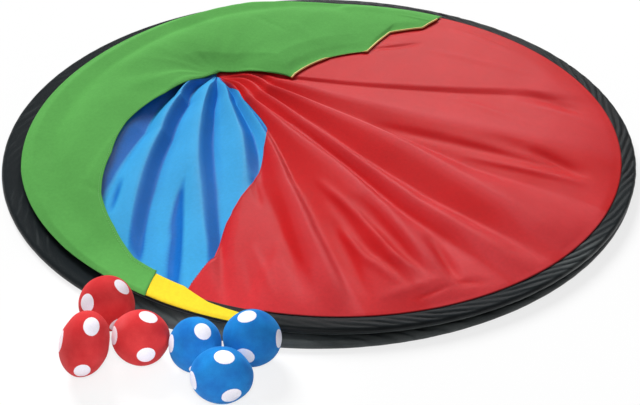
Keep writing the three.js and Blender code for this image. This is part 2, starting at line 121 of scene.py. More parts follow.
class Finish:
    """A material and short ways to add nodes to it"""

    def __init__(self, name, roughness, specular=0.3):
        self.material = bpy.data.materials.new(name)
        self.material.use_nodes = True
        self.tree = self.material.node_tree
        self.shader = self.tree.nodes["Principled BSDF"]
        self.shader.inputs["Roughness"].default_value = roughness
        self.shader.inputs["Specular IOR Level"].default_value = specular

    def node(self, kind, inputs=(), **settings):
        made = self.tree.nodes.new("ShaderNode" + kind)
        for key, value in settings.items():
            setattr(made, key, value)
        for key, value in dict(inputs).items():
            self.fill(made.inputs[key], value)
        return made

    def fill(self, socket, value):
        if isinstance(value, bpy.types.NodeSocket):
            self.tree.links.new(value, socket)
        else:
            socket.default_value = value

    def math(self, operation, first, second=0.0, clamp=False):
        made = self.node("Math", {0: first, 1: second}, operation=operation, use_clamp=clamp)
        return made.outputs[0]

    def blend(self, first, second, share):
        made = self.node("Mix", {0: share, 6: first, 7: second}, data_type="RGBA")
        return made.outputs[2]

    def range(self, value, low, high, to_low=0.0, to_high=1.0):
        inputs = {"Value": value, "From Min": low, "From Max": high, "To Min": to_low, "To Max": to_high}
        return self.node("MapRange", inputs).outputs[0]

    def shaded(self, tone, share):
        """A colour made darker or lighter by a share"""
        return self.node("VectorMath", {0: tone, "Scale": share}, operation="SCALE").outputs[0]

    def attribute(self, name):
        return self.node("Attribute", attribute_name=name)

    def place(self, turn=0.0):
        coordinates = self.node("TexCoord").outputs["Object"]
        mapping = self.node("Mapping", {"Vector": coordinates, "Rotation": (0, 0, math.radians(turn))})
        return mapping.outputs[0]

    def noise(self, place, size, detail=3.0):
        inputs = {"Vector": place, "Scale": 1 / size, "Detail": detail, "Roughness": 0.55}
        return self.node("TexNoise", inputs).outputs["Fac"]

    def waves(self, place, pitch, direction):
        inputs = {"Vector": place, "Scale": WAVE_PERIOD / pitch}
        made = self.node("TexWave", inputs, wave_type="BANDS", bands_direction=direction)
        return made.outputs["Fac"]

    def bump(self, height, distance, strength=1.0, under=None):
        inputs = {"Height": height, "Distance": distance, "Strength": strength}
        if under is not None:
            inputs["Normal"] = under
        return self.node("Bump", inputs).outputs[0]

    def set(self, **sockets):
        for name, value in sockets.items():
            self.fill(self.shader.inputs[name.replace("_", " ")], value)
        return self


print("wave period:", round(WAVE_PERIOD, 4))

# %% [markdown]
# ## Floor and light
# The set lies on a white floor in weak even light. Folds show by the side that turns away from the light,
# so a wide sun comes from behind on the left, as through a window. Its glare would wash the cloth out, so
# it has no reflection, and a softbox at the back gives the cloth its sheen instead. A small narrow
# softbox in front brings up the balls, whose near side is turned away from the window.

# %% Floor and light
FLOOR_SIZE = 14
FLOOR_TONE = 0.95
FLOOR_WHITE = 0.78
WORLD_STRENGTH = 0.22


def lamp(kind, name, location, aim, energy, **settings):
    bpy.ops.object.light_add(type=kind, location=location)
    made = bpy.context.active_object
    made.name = name
    made.data.energy = energy
    for key, value in settings.items():
        setattr(made.data, key, value)
    made.rotation_euler = (Vector(aim) - made.location).to_track_quat("-Z", "Y").to_euler()
    return made


bpy.ops.mesh.primitive_plane_add(size=FLOOR_SIZE)
floor = bpy.context.active_object
floor.name = "studio_floor"
floor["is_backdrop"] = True
floor_paint = Finish("floor_paint", 0.9, 0.0)
floor_paint.set(Base_Color=(FLOOR_TONE, FLOOR_TONE, FLOOR_TONE, 1))
ray = floor_paint.node("LightPath").outputs
seen = ray["Is Camera Ray"]
for other in ("Is Glossy Ray", "Is Transmission Ray"):
    seen = floor_paint.math("MAXIMUM", seen, ray[other])
white_share = floor_paint.math("MULTIPLY", seen, FLOOR_WHITE)
white = floor_paint.node("Emission").outputs[0]
both = floor_paint.node("MixShader", {0: white_share, 1: floor_paint.shader.outputs[0], 2: white})
floor_paint.fill(floor_paint.tree.nodes["Material Output"].inputs["Surface"], both.outputs[0])
floor.data.materials.append(floor_paint.material)

world = bpy.data.worlds.new("studio")
scene.world = world
world.use_nodes = True
world.node_tree.nodes["Background"].inputs["Color"].default_value = (1, 1, 1, 1)
world.node_tree.nodes["Background"].inputs["Strength"].default_value = WORLD_STRENGTH

window = lamp(
    "SUN", "window_behind", location=(-0.74, 1.83, 1.54), aim=(0, 0, 0), energy=3.9, angle=math.radians(26)
)
window.visible_glossy = False
lamp(
    "AREA", "softbox_behind", location=(0.32, 2.32, 1.22), aim=(0, 0.05, 0), energy=8.5,
    shape="RECTANGLE", size=1.0, size_y=0.5,
)
lamp(
    "AREA", "softbox_at_balls", location=(-0.05, -1.25, 0.95), aim=(-0.17, -0.44, 0.03), energy=0.15,
    shape="RECTANGLE", size=0.16, size_y=0.16, spread=math.radians(17),
)

# %% [markdown]
# ## Sizes from the frame
# The rims and the neck are rings, so the box of each solid gives its centre, radius and height. The cloth
# is worked out from those, and from the few sizes of the sewing.

# %% Sizes from the frame
RIM_WIDTH = 28 * MM
SEWN_TAB = 6 * MM
CLOTH = 0.5 * MM


def ring_of(node):
    """Centre, outer radius, lowest and highest height of a ring"""
    low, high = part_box(node)
    return np.array(((low + high) / 2).xy), (high.x - low.x) / 2, low.z, high.z


LOWER_CENTRE, LOWER_RADIUS, LOWER_BASE, LOWER_TOP = ring_of("lower_rim_sleeve")
UPPER_CENTRE, UPPER_RADIUS, UPPER_BASE, UPPER_TOP = ring_of("upper_rim_sleeve")
NECK, NECK_CORD_RADIUS, NECK_CORD_BASE, NECK_CORD_TOP = ring_of("neck_cord")
UPPER_CLEAR = UPPER_RADIUS - RIM_WIDTH
LOWER_CLEAR = LOWER_RADIUS - RIM_WIDTH
NECK_CORD_DIAMETER = NECK_CORD_TOP - NECK_CORD_BASE
NECK_RADIUS = NECK_CORD_RADIUS - NECK_CORD_DIAMETER
UPPER_SLIT = (UPPER_BASE + UPPER_TOP) / 2 + CLOTH / 2
LOWER_SLIT = (LOWER_BASE + LOWER_TOP) / 2 + CLOTH / 2
print("rims: radius", round(LOWER_RADIUS, 4), "and", round(UPPER_RADIUS, 4), "neck at", NECK.round(4))

# %% [markdown]
# ## Tools for meshes
# A few helpers that the pieces share. They read and write all the points of a mesh at once, run operators
# on it in edit mode, give a sheet its thickness, and put a finish on a piece. A loop could move the
# points one by one, but that is slow for meshes of this size.

# %% Tools for meshes


def points_of(piece):
    flat = np.zeros(len(piece.data.vertices) * 3)
    piece.data.vertices.foreach_get("co", flat)
    return flat.reshape(-1, 3)


def move_points(piece, points):
    piece.data.vertices.foreach_set("co", np.asarray(points, dtype=np.float32).ravel())
    piece.data.update()


def new_primitive(name, operator, **settings):
    """A primitive added with nothing else selected"""
    bpy.ops.object.select_all(action="DESELECT")
    operator(**settings)
    made = bpy.context.active_object
    made.name = made.data.name = name
    return made


def only(piece):
    bpy.ops.object.select_all(action="DESELECT")
    piece.select_set(True)
    bpy.context.view_layer.objects.active = piece


def edit(piece, *steps):
    """Edit-mode operators on the whole mesh, each one as (operator, settings)"""
    only(piece)
    bpy.ops.object.mode_set(mode="EDIT")
    bpy.ops.mesh.select_all(action="SELECT")
    for operator, settings in steps:
        operator(**settings)
    bpy.ops.object.mode_set(mode="OBJECT")


def apply_modifier(piece, kind, **settings):
    only(piece)
    modifier = piece.modifiers.new(kind.lower(), kind)
    for key, value in settings.items():
        setattr(modifier, key, value)
    bpy.ops.object.modifier_apply(modifier=modifier.name)


def shade_smooth(piece):
    only(piece)
    bpy.ops.object.shade_smooth()


def thicken(piece, thickness):
    """A wall under the sheet's face, with every face pointing out"""
    edit(piece, (bpy.ops.mesh.normals_make_consistent, {"inside": False}))
    if piece.data.polygons[len(piece.data.polygons) // 2].normal.z < 0:
        edit(piece, (bpy.ops.mesh.flip_normals, {}))
    apply_modifier(piece, "SOLIDIFY", thickness=thickness, offset=-1)
    shade_smooth(piece)


def write_attribute(piece, name, values, kind="FLOAT"):
    attribute = piece.data.attributes.new(name, kind, "POINT")
    slot = "vector" if kind == "FLOAT_VECTOR" else "value"
    attribute.data.foreach_set(slot, np.asarray(values, dtype=np.float32).ravel())


def area_of(piece):
    return sum(face.area for face in piece.data.polygons)


def dress(piece, material):
    piece.data.materials.clear()
    piece.data.materials.append(material)
    return piece


print("floor:", round(area_of(floor)), "square metres")

# %% [markdown]
# ## Places round a centre
# The rims and the fans of cloth are round, so places are mostly written as an angle and a distance from a
# centre. A sheet is a plain grid at first, and a function says where each of its points goes.

# %% Places round a centre


def smooth(value, low, high):
    share = np.clip((value - low) / (high - low), 0, 1)
    return share * share * (3 - 2 * share)


def mix(first, second, share):
    return first + (second - first) * share


def polar(points, centre):
    """Angle in degrees and distance of points round a centre"""
    offset = points[..., :2] - centre
    return np.degrees(np.arctan2(offset[..., 1], offset[..., 0])), np.hypot(offset[..., 0], offset[..., 1])


def at_angle(centre, angle, distance, height):
    turn = np.radians(angle)
    x, y = centre[0] + distance * np.cos(turn), centre[1] + distance * np.sin(turn)
    return np.stack(np.broadcast_arrays(x, y, height), -1)


def reach(start, angle, centre, radius):
    """Distance from a point inside a circle to that circle, along an angle"""
    turn = np.radians(angle)
    offset = start - centre
    inward = offset[0] * np.cos(turn) + offset[1] * np.sin(turn)
    return np.sqrt(inward**2 + radius**2 - offset @ offset) - inward


def grid_sheet(name, columns, rows, place):
    """A grid whose points go where place(across, along) puts them, both running from 0 to 1"""
    sheet = new_primitive(
        name, bpy.ops.mesh.primitive_grid_add, x_subdivisions=columns, y_subdivisions=rows, size=1
    )
    flat = points_of(sheet)
    move_points(sheet, place(flat[:, 0] + 0.5, flat[:, 1] + 0.5))
    return sheet


front_reach = reach(NECK, -90, UPPER_CENTRE, UPPER_CLEAR)
print("from the neck straight to the front rim:", round(float(front_reach), 4))

# %% [markdown]
# ## Woven cloth
# All the cloth is thin, plain-woven and a little shiny. A picture of cloth could be laid on it, but nodes
# stay sharp at any distance: two wave textures cross at the thread's pitch and raise a fine bump, and
# soft noise makes the dye uneven. The mesh carries an attribute called crest, by which the shader paints
# a fold paler on its top, a painted highlight, and deeper in its hollow, a painted shade.

# %% Woven cloth
# Each cloth's deep, body and highlight colour, its thread pitch in millimetres, the turn of its weave in
# degrees, its roughness and its specular level. Deep is painted shade in the folds and creases, and the
# highlight colour is a painted highlight on their tops and the tint of the sheen
WEAVES = {
    "red_cloth": (((202, 12, 18), (205, 30, 36), (208, 50, 56)), 0.9, 38, 0.41, 0.45),
    "blue_cloth": (((2, 108, 197), (64, 170, 230), (90, 184, 236)), 0.9, 4, 0.45, 0.45),
    "green_cloth": (((80, 152, 71), (94, 168, 83), (106, 178, 94)), 0.9, 21, 0.75, 0.2),
    "yellow_cloth": (((224, 190, 36), (242, 211, 48), (248, 222, 74)), 0.9, 60, 0.75, 0.2),
    "hem_cloth": (((240, 208, 126), (254, 230, 156), (254, 238, 184)), 0.6, 0, 0.8, 0.2),
    "rim_cloth": (((3, 5, 7), (24, 30, 33), (106, 112, 112)), 0.8, 45, 0.42, 0.28),
}
# The crest at which the painted shade colour and the painted highlight colour begin and are reached
SHADE_CREST = -0.2, -1.0
HIGHLIGHT_CREST = 0.25, 1.1


def woven(name, tones, pitch, turn, roughness, specular):
    """Plain-woven cloth: threads both ways, uneven dye, painted shade in the folds and painted highlights on
    top
    """
    deep, body, highlight = (colour(*tone) for tone in tones)
    cloth = Finish(name, roughness, specular)
    place = cloth.place(turn)
    warp, weft = (cloth.waves(place, pitch * MM, way) for way in "XY")
    threads = cloth.math("MAXIMUM", warp, weft)
    dye = cloth.noise(place, 60 * MM)
    slub = cloth.noise(place, 4 * MM, 2.0)
    crest = cloth.attribute("crest").outputs["Fac"]
    low = cloth.range(crest, *SHADE_CREST)
    high = cloth.range(crest, *HIGHLIGHT_CREST)
    base = cloth.blend(body, deep, low)
    highlight_share = cloth.math("MULTIPLY", high, cloth.range(dye, 0.3, 0.7, 0.5, 1.0))
    base = cloth.blend(base, highlight, highlight_share)
    shade = cloth.range(cloth.math("ADD", dye, slub), 0.7, 1.3, 0.93, 1.07)
    thread_shade = cloth.math("MULTIPLY", shade, cloth.range(threads, 0.2, 1.0, 0.9, 1.03))
    tinted = cloth.shaded(base, thread_shade)
    soft = cloth.bump(dye, 1.2 * MM, 0.35)
    cloth.set(Base_Color=tinted, Normal=cloth.bump(threads, 0.12 * MM, 0.6, soft))
    cloth.set(Sheen_Weight=0.04, Sheen_Roughness=0.45, Sheen_Tint=highlight)
    return cloth.material


CLOTH_FINISH = {name: woven(name, *row) for name, row in WEAVES.items()}
print("woven:", ", ".join(CLOTH_FINISH))

# %% [markdown]
# ## Thread, wire and stuffing
# Sewing thread is twisted, so it shows slanted bands of light and shade. The spring wire in the rims is
# drawn steel with fine scratches, and the balls are filled with pale loose fibre. A plain colour would
# look like plastic on each of them, and a few nodes for tone and bump are enough.

# %% Thread, wire and stuffing


def thread_finish(name, tone):
    """Twisted sewing thread: fine slanted bands of light and shade"""
    thread = Finish(name, 0.6)
    bands = thread.waves(thread.place(30), 0.5 * MM, "X")
    shade = thread.range(bands, 0.0, 1.0, 0.75, 1.1)
    tinted = thread.shaded(tone[:3], shade)
    thread.set(Base_Color=tinted, Normal=thread.bump(bands, 0.1 * MM, 0.5), Sheen_Weight=0.2)
    return thread.material


DARK_THREAD = thread_finish("dark_thread", colour(88, 92, 94))
GREEN_THREAD = thread_finish("green_thread", colour(120, 196, 108))
RED_THREAD = thread_finish("red_thread", colour(170, 24, 32))


def steel_finish():
    """Drawn spring wire: fine scratches along it and a slight stain"""
    steel = Finish("spring_steel", 0.32, 0.5)
    place = steel.place()
    stain = steel.noise(place, 20 * MM)
    tone = steel.blend(colour(150, 152, 154), colour(196, 198, 200), stain)
    steel.set(Base_Color=tone, Metallic=1.0, Roughness=steel.range(stain, 0.3, 0.7, 0.24, 0.42))
    steel.set(Normal=steel.bump(steel.noise(place, 0.6 * MM), 0.05 * MM, 0.4))
    return steel.material


def fibre_finish():
    """Loose stuffing: pale, matt and stringy"""
    fibre = Finish("ball_fibre", 0.95, 0.1)
    place = fibre.place()
    strands = fibre.noise(place, 2 * MM, 6.0)
    tone = fibre.blend(colour(205, 200, 190), colour(242, 240, 234), strands)
    fibre.set(Base_Color=tone, Normal=fibre.bump(strands, 0.8 * MM, 0.8), Sheen_Weight=0.3)
    return fibre.material


SPRING_STEEL = steel_finish()
BALL_FIBRE = fibre_finish()
print("finishes:", len(bpy.data.materials))

# %% [markdown]
# ## Hoops and ferrules
# The spring hoops and the crimped tubes that close them lie inside the sleeves. Their solids have the
# right shape, so they stay as they are and only get a drawn-steel finish.

# %% Hoops and ferrules
for rim in ("lower_rim", "upper_rim"):
    for inner in ("hoop", "ferrule"):
        dress(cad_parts[f"{rim}_{inner}"], SPRING_STEEL)

# %% [markdown]
# ## Lobes of the sleeves
# Each rim is a sleeve of black cloth round a spring hoop. The cloth is twisted round the hoop, so it
# gathers into long slanting lobes with sharp creases between them, strong on the right and faint on the
# left. A displacement texture could raise them, but they have to grow and fade round the ring, so a
# function of the angle and of the place across the sleeve gives their height.

# %% Lobes of the sleeves
LOBES = 78
LOBE_HEIGHT = 2.4 * MM
LOBE_SLANT = 10.0
# Slow waves that keep the lobes uneven: strength, waves round the ring, start
LOBE_DRIFT = [(1.3, 3, 0.6), (1.6, 11, 2.0), (1.2, 23, 0.0)]
# Where the lobes grow and fade, in degrees round the ring, and their shares outside the right side
RIGHT_LOBES_GROW = -105, -62
RIGHT_LOBES_FADE = 70, 120
LEFT_LOBES_GROW = 125, 150
LEFT_LOBES = 0.6
FAINT_LOBES = 0.22
# Where the lobes start and fade across the sleeve, and how much of them fades
LOBES_START = -0.62, -0.1
LOBES_FADE = 0.6, 0.95
FADED_SHARE = 0.7
# Finer lobes between them, as shares of the lobes' own number, slant and drift, and how the height swings
FINE_LOBES = 2.6
FINE_SLANT = 1.7
FINE_DRIFT = 2
LOBE_MEAN = 0.66
LOBE_SWING = 0.34


def lobes(angle, across):
    """Height of the slanting lobes, from -1 in a crease to 1 on top, round and across the sleeve"""
    turn = np.radians(angle)
    drift = sum(strength * np.sin(waves * turn + start) for strength, waves, start in LOBE_DRIFT)
    main = np.abs(np.cos((LOBES * turn - LOBE_SLANT * across + drift) / 2))
    fine_turn = FINE_LOBES * LOBES * turn - FINE_SLANT * LOBE_SLANT * across + FINE_DRIFT * drift
    fine = np.abs(np.cos(fine_turn / 2))
    swing = LOBE_MEAN + LOBE_SWING * np.sin(17 * turn + 1.3) * np.sin(7 * turn)
    return (1.5 * main + 0.5 * fine - 1) * swing


def lobe_share(angle, across):
    """Full lobes on the right, faint ones on the left, and none on the sewn edge"""
    right = smooth(angle, *RIGHT_LOBES_GROW) * (1 - smooth(angle, *RIGHT_LOBES_FADE))
    left = smooth(np.abs(angle), *LEFT_LOBES_GROW)
    shown = smooth(across, *LOBES_START) * (1 - FADED_SHARE * smooth(across, *LOBES_FADE))
    return np.maximum(mix(FAINT_LOBES, 1.0, right), LEFT_LOBES * left) * shown


print("lobes:", LOBES, "round each rim, up to", LOBE_HEIGHT, "m high")

# %% [markdown]
# ## Section and slit of a sleeve
# A sleeve is full where the hoop is and thinner at its inner edge, where it is sewn. A torus would be
# round in section, so a circle is drawn out flat, and a Screw modifier takes it round the ring. The faces
# at the inner edge are taken out, where the coloured cloth goes in.

# %% Section and slit of a sleeve
SEWN_EDGE_HEIGHT = 0.66
FULL_FROM = -0.75, -0.05
SECTION_POINTS = 36
SLIT_HALF = 1.2 * MM
SLIT_REACH = 2.5 * MM


def fullness(across):
    """Share of the full height that the sleeve has, across it from -1 at the sewn edge to 1"""
    return mix(SEWN_EDGE_HEIGHT, 1, smooth(across, *FULL_FROM))


def flat_section(share, width, height):
    """Places across and up on the flat section of a sleeve, going round it from its outer edge"""
    arc = math.pi * height / 4
    flat = width - height
    stops = np.cumsum([0, arc, flat, 2 * arc, flat, arc])
    run = share * stops[-1]
    middle = np.interp(run, stops, np.array([1, 1, -1, -1, 1, 1]) * flat / 2)
    turn = np.radians(np.interp(run, stops, [0, 90, 90, 270, 270, 360]))
    across = middle + height / 2 * np.cos(turn)
    return across, height / 2 * np.sin(turn) * fullness(across / width * 2)


def sleeve(name, centre, radius, width, base, top, steps, share):
    middle = radius - width / 2
    ring = new_primitive(name, bpy.ops.mesh.primitive_circle_add, vertices=SECTION_POINTS, radius=1)
    across, up = flat_section(np.arange(SECTION_POINTS) / SECTION_POINTS, width, top - base)
    move_points(ring, np.stack([middle + across, 0 * across, up], -1))
    apply_modifier(
        ring, "SCREW", axis="Z", angle=2 * math.pi, steps=steps, render_steps=steps,
        use_merge_vertices=True, merge_threshold=0.02 * MM,
    )
    edit(ring, (bpy.ops.mesh.normals_make_consistent, {"inside": False}))
    points = points_of(ring)
    normals = np.zeros(len(points) * 3)
    ring.data.vertex_normals.foreach_get("vector", normals)
    angle, distance = polar(points, np.zeros(2))
    across = (distance - middle) / (width / 2)
    swell = (lobes(angle, across) - 1) * lobe_share(angle, across) * share * LOBE_HEIGHT / 2
    points += normals.reshape(-1, 3) * swell[:, None] + [*centre, (base + top) / 2]
    points[:, 2] = np.maximum(points[:, 2], base)
    move_points(ring, points)
    return ring


def open_slit(ring, centre, clear, height):
    """Takes out the strip of faces at the sleeve's inner edge, where the cloth goes in"""
    by_face = (bpy.ops.mesh.select_mode, {"type": "FACE"})
    edit(ring, by_face, (bpy.ops.mesh.select_all, {"action": "DESELECT"}))
    inner = clear + SLIT_REACH
    for face in ring.data.polygons:
        spot = face.center
        away = math.hypot(spot.x - centre[0], spot.y - centre[1])
        face.select = away < inner and abs(spot.z - height) < SLIT_HALF
    bpy.ops.object.mode_set(mode="EDIT")
    bpy.ops.mesh.delete(type="FACE")
    bpy.ops.object.mode_set(mode="OBJECT")


print("section:", SECTION_POINTS, "points, sewn edge", SEWN_EDGE_HEIGHT, "of the height")

# %% [markdown]
# ## Rim sleeves
# Now both sleeves are made, and Solidify gives them a wall. The shine of the lobes' tops and of some
# stretches of the rims is painted into the colour, and so is shade in the creases and on other stretches.
# A second finish for those would show where it begins, so the crest attribute tells the one finish where
# to paint them.

# %% Rim sleeves
SLEEVE_WALL = 1 * MM
# The lower sleeve is drawn 12 mm wider inward than the rim, so that its black cloth fills the gap under the
# upper sleeve, where there is only shade
LOWER_SLEEVE_WIDTH = RIM_WIDTH + 12 * MM
# Painted light and shade on a rim's cloth round its centre: degrees, then a share, paler above zero
RIM_LIGHT_AND_SHADE = {
    "lower_rim": [(-180, 0.1), (-130, 0.1), (-105, 0.9), (-50, 0.7), (-30, 0.2), (180, 0.1)],
    "upper_rim": [
        (-130, 0), (-105, -0.8), (-62, -0.3), (-45, 0.5), (-20, -0.2), (0, -0.8), (90, -0.8), (130, 0),
    ],
}
# How much the lobes' tops are painted paler and their creases darker: painted highlight and painted shade
LOBE_TOP_HIGHLIGHT = 0.6
LOBE_CREASE_SHADE = 1.3
# The painted highlight along the upper sleeve's lower outer edge: share of the sleeve's height, half width,
# tint
EDGE_HIGHLIGHT_AT = 0.36
EDGE_HIGHLIGHT_WIDTH = 1.2 * MM
EDGE_HIGHLIGHT_TINT = 2.2
OUTER_SIDE = 0.7, 0.9


def rim_crest(rim, points, centre, middle, width, base, top):
    """Painted highlight on lobes and the upper sleeve's lower edge, painted shade in creases, both round the
    ring
    """
    angle, distance = polar(points, centre)
    across = (distance - middle) / (width / 2)
    lobed = lobes(angle, across) * lobe_share(angle, across)
    lobed = np.where(lobed > 0, LOBE_TOP_HIGHLIGHT, LOBE_CREASE_SHADE) * lobed
    turns, tones = np.array(RIM_LIGHT_AND_SHADE[rim]).T
    off_line = (points[:, 2] - mix(base, top, EDGE_HIGHLIGHT_AT)) / EDGE_HIGHLIGHT_WIDTH
    line = np.exp(-(off_line**2)) * smooth(across, *OUTER_SIDE) * (rim == "upper_rim")
    return lobed + np.interp(angle, turns, tones) + EDGE_HIGHLIGHT_TINT * line


for rim, centre, radius, width, base, top, steps, share in (
    ("lower_rim", LOWER_CENTRE, LOWER_RADIUS, LOWER_SLEEVE_WIDTH, LOWER_BASE, LOWER_TOP, 720, 0.6),
    ("upper_rim", UPPER_CENTRE, UPPER_RADIUS, RIM_WIDTH, UPPER_BASE, UPPER_TOP, 1120, 1.0),
):
    cover = sleeve(f"{rim}_cover", centre, radius, width, base, top, steps, share)
    open_slit(cover, centre, radius - width, (base + top) / 2)
    apply_modifier(cover, "SOLIDIFY", thickness=SLEEVE_WALL, offset=-1)
    shade_smooth(cover)
    crest = rim_crest(rim, points_of(cover), centre, radius - width / 2, width, base, top)
    write_attribute(cover, "crest", crest)
    dress(cover, CLOTH_FINISH["rim_cloth"])
    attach(cover, rim.replace("rim", "ring"))
    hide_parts(f"{rim}_sleeve")
    print(cover.name, len(cover.data.polygons), "faces")

# %% [markdown]
# ## Fold lines
# The cloth hangs between the neck and the rim in folds that fan out from the neck. A cloth simulation
# could make such folds, but these have to lie where the real ones do, so each fold is drawn by two lines,
# its top and its bottom. A line runs out from the neck and swings a little, so it has a heading at each
# of six distances, and one height near the neck and one far from it. Between two lines the cloth goes
# from a sharp bottom to a round top.

# %% Fold lines
# A fold line's height in millimetres, near the neck and far from it, and its heading in degrees at each of
# these distances from the neck
FOLD_DISTANCES = np.array([40, 90, 180, 300, 420, 560]) * MM
FOLD_LINES = [
    *[(2.4 * (-1) ** k, 2.4 * (-1) ** k, *[-255 + 12 * k] * 6) for k in range(8)],
    (6.0, 5.0, -156, -144, -130, -119, -114, -111),
    (-8.0, -5.0, -146, -132, -118.5, -112.6, -108.6, -106),
    (7.5, 6.5, -139, -121, -111.2, -106, -101.2, -98),
    (-8.5, -6.5, -129, -112, -105.8, -101.8, -99.2, -96.5),
    (8.5, 7.0, -98, -97, -94.4, -91, -88.3, -86.8),
    (-9.5, -5.0, -85.5, -88.4, -88.4, -86.5, -86, -85.6),
    (7.0, 1.5, -72, -76, -76.2, -80.5, -84, -84.3),
    (-7.0, -1.0, -63, -69.4, -70.6, -75.9, -75.5, -74.3),
    (4.5, 5.5, -57, -64.3, -66.2, -69.4, -71.2, -72.4),
    (-3.0, -5.0, -54, -62.6, -64.5, -67.7, -69.5, -70.4),
    (5.0, 7.5, -46, -56.6, -56.9, -55.7, -56.6, -60.1),
    (-3.0, -5.0, -40, -52.6, -52.8, -53.3, -54.4, -53.5),
    (3.5, 5.0, -26, -43.1, -47.6, -49.8, -50.7, -49.7),
    (-4.0, -6.5, -22, -40.2, -44.8, -47.4, -47.9, -47),
    (5.0, 8.0, -12, -31.5, -34.9, -37.1, -39.9, -42),
    (-3.5, -5.5, -7, -26.7, -31, -33.8, -35.7, -34.5),
    (2.0, 3.5, -2, -17.9, -22.3, -23.3, -22.5, -21.3),
    (0.0, 0.0, 1, -13.2, -13.3, -11.5, -9.8, -9.3),
    (2.6, 3.6, 4, -10, -10.5, -9.2, -7.6, -7.3),
    *[(1.6 * (-1) ** k, 1.6 * (-1) ** k, *[14 + 12 * k] * 6) for k in range(8)],
]
NEAR_NECK = 180 * MM
FAR_FROM_NECK = 340 * MM
# How round a fold is at its top and sharp at its bottom, and how much both are eased
TOP_ROUND = 0.55
BOTTOM_SHARP = 0.3
FOLD_EASE = 0.3
# Degrees before a fold's top and after its bottom where it shines, and the rise in millimetres that counts
SHINE_BEFORE_TOP = 3.4, 0.4
SHINE_AFTER_BOTTOM = 0.7
SHINE_RISE = 2, 6


def fold_sides(angle, distance):
    """The fold lines before and after a place: their headings, and their heights in millimetres"""
    near, far = np.array([line[:2] for line in FOLD_LINES]).T
    height = mix(near, far, smooth(distance, NEAR_NECK, FAR_FROM_NECK)[:, None])
    lines = np.stack([np.interp(distance, FOLD_DISTANCES, line[2:]) for line in FOLD_LINES], -1)
    after = np.clip((lines <= angle[:, None]).sum(1), 1, len(near) - 1)
    row = np.arange(len(angle))
    return lines[row, after - 1], lines[row, after], height[row, after - 1], height[row, after]


def fold_height(angle, distance):
    """Height of the folds at an angle and a distance from the neck, before they fade"""
    start, end, low, high = fold_sides(angle, distance)
    share = np.clip((angle - start) / np.maximum(end - start, 1e-6), 0, 1)
    quarter = share * math.pi / 2
    rising = mix(share, np.sin(quarter), TOP_ROUND)
    falling = mix(share, 1 - np.cos(quarter), BOTTOM_SHARP)
    bent = np.where(high > low, rising, falling)
    return mix(low, high, mix(bent, smooth(share, 0, 1), FOLD_EASE)) * MM


def fold_stripe(angle, distance):
    """1 on a fold's falling side and just before its top, where it shines, and 0 on its rising side"""
    start, end, low, high = fold_sides(angle, distance)
    from_top, to_top = SHINE_BEFORE_TOP
    before_top = smooth(angle, end - from_top, end - to_top)
    after_bottom = 1 - smooth(angle, start, start + SHINE_AFTER_BOTTOM)
    rising = smooth(high - low, *SHINE_RISE)
    return 1 - rising * (1 - np.maximum(before_top, after_bottom))


print("fold lines:", len(FOLD_LINES))

# %% [markdown]
# ## Slack, tucks and pockets
# Cloth that nothing pulls on is never quite flat. A few crossing waves make it slack, and short tucks and
# pockets come on top of the folds, each a soft ridge or groove between two places. They could be sculpted
# with a brush, but a list of places is easy to read and to change.

# %% Slack, tucks and pockets
RIPPLE_WAVES = 7
RIPPLE_STRETCH = 0.6, 1.8


def ripple(points, size, seed):
    """Small unevenness of slack cloth, from -1 to 1, out of a few crossing waves"""
    draw = np.random.default_rng(seed)
    total = np.zeros(len(points))
    for _ in range(RIPPLE_WAVES):
        heading, phase = draw.uniform(0, 2 * math.pi, 2).tolist()
        stretch = draw.uniform(*RIPPLE_STRETCH)
        way = np.array([math.cos(heading), math.sin(heading)])
        total += np.sin(points[:, :2] @ way * 2 * math.pi * stretch / size + phase)
    return total / RIPPLE_WAVES


def crease(points, start, end, width):
    """A straight crease between two places, 1 along its line and 0 beside and past its ends"""
    way = end - start
    length = np.hypot(*way)
    way = way / length
    offset = points[:, :2] - start
    along = offset @ way / length
    beside = (offset[:, 0] * way[1] - offset[:, 1] * way[0]) / (width * MM)
    return np.exp(-(beside**2)) * np.clip(4 * along * (1 - along), 0, 1)


